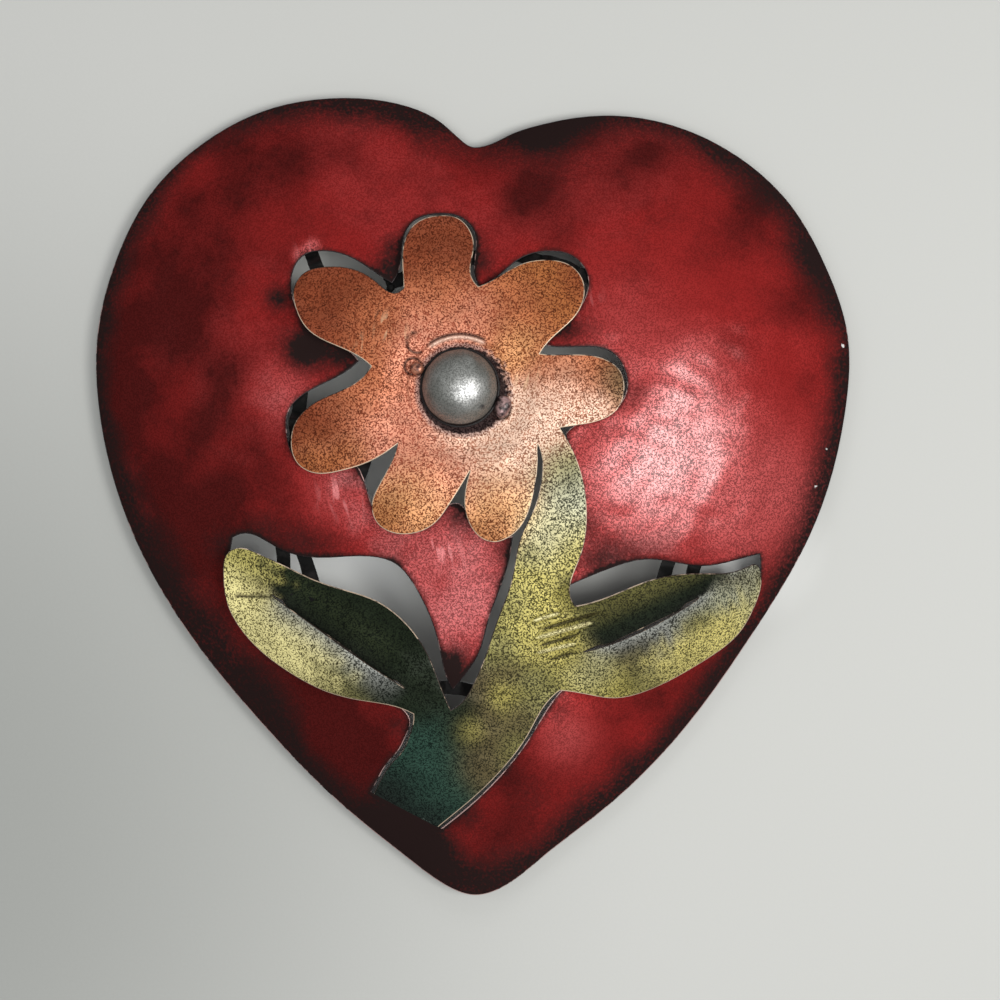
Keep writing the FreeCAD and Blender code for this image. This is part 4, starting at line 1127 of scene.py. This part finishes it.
def back_paint(name, base, over):
    """Thin dark paint on the hidden side, with clouds of overspray."""
    n = Nodes(name)
    mist = n.noise(300.0, 3.0, 0.6, 0.4)
    cloud = n.noise(18.0, 3.0, 0.6, 0.8)
    grain = n.noise(1400.0, 1.0, 0.5, 0.1)
    share = n.times(n.ramp(cloud, 0.45, 0.7), n.ramp(mist, 0.42, 0.62))
    n.bump(grain, 0.00003, 0.5)
    return n.set(Base_Color=n.mix(share, base, over), Metallic=0.3,
                 Roughness=n.ramp(mist, 0.3, 0.7, 0.5, 0.72), Coat_Weight=0.1, Coat_Roughness=0.4)


def black_strap():
    n = Nodes("strap_black_paint")
    mist = n.noise(260.0, 3.0, 0.6, 0.6)
    grain = n.noise(1100.0, 1.0, 0.5, 0.3)
    n.bump(grain, 0.00004, 0.6)
    paint = n.mix(n.ramp(mist, 0.45, 0.7), (0.006, 0.006, 0.0058), (0.016, 0.0145, 0.014))
    return n.set(Base_Color=paint, Roughness=n.ramp(mist, 0.3, 0.7, 0.45, 0.65),
                 Specular_IOR_Level=0.06, Coat_Weight=0.03, Coat_Roughness=0.4)


def cap_silver():
    n = Nodes("cap_silver_paint")
    cap_highlight = n.number("cap_highlight")
    grain, _ = worm_grain(n)
    drift = n.noise(140.0, 2.0, 0.6, 0.7)
    tops = n.mix(n.ramp(drift, 0.35, 0.65), (0.20, 0.205, 0.185), (0.27, 0.275, 0.255))
    # Painted highlight: paler paint where the lamps' reflections fall.
    tops = n.mix(cap_highlight, tops, (0.80, 0.80, 0.78))
    paint = n.mix(1.0, tops, n.span(grain, 0.5, 1.0), "MULTIPLY")
    paint = n.mix(n.number("speck"), paint, (0.03, 0.03, 0.03))
    edge = n.ramp(n.uneven(n.number("flange"), drift, 0.2), 0.4, 0.75)
    paint = n.mix(edge, paint, (0.010, 0.008, 0.008))
    gloss = n.times(less(n, edge, 1.0), n.span(grain, 0.3, 1.0))
    n.bump(grain, 0.00005, 0.7)
    return n.set(Base_Color=paint, Metallic=n.times(gloss, 0.6), Roughness=0.46,
                 Specular_IOR_Level=0.3, Coat_Roughness=0.40, Coat_IOR=2.4,
                 Coat_Weight=n.times(gloss, n.span(cap_highlight, 0.35, 1.0)))


def weld_metal(name, bright, dark):
    n = Nodes(name)
    grain, fine = worm_grain(n)
    burn = n.noise(420.0, 2.0, 0.6, 0.5)
    n.bump(fine, 0.0002, 0.5)
    return n.set(Base_Color=n.mix(n.ramp(burn, 0.38, 0.62), dark, bright), Metallic=0.5,
                 Roughness=n.ramp(grain, 0.0, 1.0, 0.5, 0.3), Coat_Weight=0.3, Coat_Roughness=0.25)


STRAP = black_strap()
for made, *materials in (
        (heart, heart_paint(),
         cut_edge("heart_cut_edge", (0.62, 0.40, 0.37), (0.02, 0.012, 0.013)),
         back_paint("heart_back_paint", (0.022, 0.019, 0.020), (0.10, 0.02, 0.024))),
        (spray, spray_paint(),
         cut_edge("spray_cut_edge", (0.74, 0.58, 0.42), (0.035, 0.022, 0.015)),
         back_paint("spray_back_paint", (0.022, 0.020, 0.018), (0.10, 0.075, 0.04))),
        (cap, cap_silver()),
        (weld_left, weld_metal("weld_copper", (0.50, 0.20, 0.12), (0.10, 0.035, 0.025))),
        (weld_right, weld_metal("weld_dark", (0.40, 0.25, 0.24), (0.03, 0.016, 0.016))),
        (beads, STRAP)):
    for material in materials:
        made.data.materials.append(material)
for name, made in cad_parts.items():
    if name.startswith("strap_") or name == "hanger_bar":
        made.data.materials.clear()
        made.data.materials.append(STRAP)

# ---- wall, camera and light ----

WALL_HALF = 2600.0
WALL_GAP = 7.0
# Painted light: paler wall behind the leaves' and the left petals' gaps. Across, up, full and
# gone reach in mm, and colour.
PAINTED_LIGHT_PATCHES = [(-58, -132, 12, 58, (0.95, 0.97, 0.95)), (98, -130, 6, 40, (0.95, 0.96, 0.94)),
                (-60, -48, 20, 58, (0.90, 0.92, 0.88))]


def wall():
    half, y = WALL_HALF, WALL_Y + WALL_GAP
    mesh = bpy.data.meshes.new("wall")
    corners = [(-half, y, -half), (half, y, -half), (half, y, half), (-half, y, half)]
    mesh.from_pydata([tuple(c * MM for c in corner) for corner in corners], [], [(0, 1, 2, 3)])
    made = linked("wall", mesh)
    n = Nodes("wall_paint")
    plaster = n.noise(900.0, 2.0, 0.5)
    n.bump(plaster, 0.00005, 0.15)

    def from_point(across, up, near, far):
        node = n.node("VectorMath")
        node.operation = "DISTANCE"
        n.put(node.inputs[0], n.place)
        node.inputs[1].default_value = (across * MM, y * MM, up * MM)
        return n.ramp(node.outputs["Value"], near * MM, far * MM)

    shade = n.uneven(from_point(-235, -235, 40, 320), plaster, 0.015)
    paint = n.mix(shade, (0.385, 0.395, 0.375), (0.60, 0.605, 0.58))
    # Painted light on the wall behind the gaps.
    for across, up, near, far, colour in PAINTED_LIGHT_PATCHES:
        paint = n.mix(from_point(across, up, near, far), colour, paint)
    n.set(Base_Color=paint, Roughness=0.85, Specular_IOR_Level=0.2)
    # Clear from behind and far out, so that the object can be seen from every side.
    facing = n.node("NewGeometry").outputs["Backfacing"]
    joined = n.node("MixShader")
    n.put(joined.inputs[0], n.math("MAXIMUM", facing, from_point(0, -110, 480, 1300)))
    n.put(joined.inputs[1], n.shader.outputs[0])
    n.put(joined.inputs[2], n.node("BsdfTransparent").outputs[0])
    n.put(n.out.inputs["Surface"], joined.outputs[0])
    made.data.materials.append(n.material)
    made.visible_shadow = False
    made.visible_diffuse = False
    made.visible_glossy = False


wall()

camera = linked("camera", bpy.data.cameras.new("camera"))
camera.location = [c * MM for c in EYE]
camera.rotation_euler = (math.pi / 2, 0, 0)
camera.data.sensor_width = 36.0
camera.data.lens = 18.0 / (500.0 * PIXEL / REACH)
camera.data.clip_start = 0.01
bpy.context.scene.camera = camera


def lamp(name, azimuth, elevation, distance, width, height, power, colour=(1, 1, 1)):
    """A soft lamp that looks at the heart; azimuth 0 is in front, 90 to the right."""
    light = bpy.data.lights.new(name, "AREA")
    light.shape = "RECTANGLE"
    light.size, light.size_y = width, height
    light.energy = power
    light.color = colour
    made = linked(name, light)
    a, e = math.radians(azimuth), math.radians(elevation)
    aim = Vector((0.0, -0.02, -0.105))
    way = Vector((math.sin(a) * math.cos(e), -math.cos(a) * math.cos(e), math.sin(e)))
    made.location = aim + way * distance
    made.rotation_euler = (-way).to_track_quat("-Z", "Y").to_euler()


lamp("key", 32, -4, 1.1, 0.36, 0.44, 5.6, (1.0, 0.99, 0.97))
lamp("front", 3, -14, 1.3, 0.85, 0.65, 7.2)
lamp("left", -40, 12, 1.3, 0.5, 0.5, 1.0, (0.97, 0.99, 1.0))
lamp("top", 4, 55, 1.2, 0.9, 0.5, 1.5)
lamp("rear", 200, 25, 1.3, 1.2, 1.2, 5.0)

world = bpy.data.worlds.new("room")
bpy.context.scene.world = world
world.use_nodes = True
tree = world.node_tree
back = tree.nodes["Background"]
back.inputs["Strength"].default_value = 0.25
back.inputs["Color"].default_value = (0.97, 0.98, 1.0, 1.0)
seen = tree.nodes.new("ShaderNodeBackground")
seen.inputs["Color"].default_value = (0.80, 0.81, 0.82, 1.0)
path = tree.nodes.new("ShaderNodeLightPath")
pick = tree.nodes.new("ShaderNodeMixShader")
for socket, output in zip(pick.inputs, (path.outputs["Is Camera Ray"], back.outputs[0],
                                        seen.outputs[0])):
    tree.links.new(output, socket)
tree.links.new(pick.outputs[0], tree.nodes["World Output"].inputs["Surface"])
bpy.context.scene.view_settings.view_transform = "Standard"
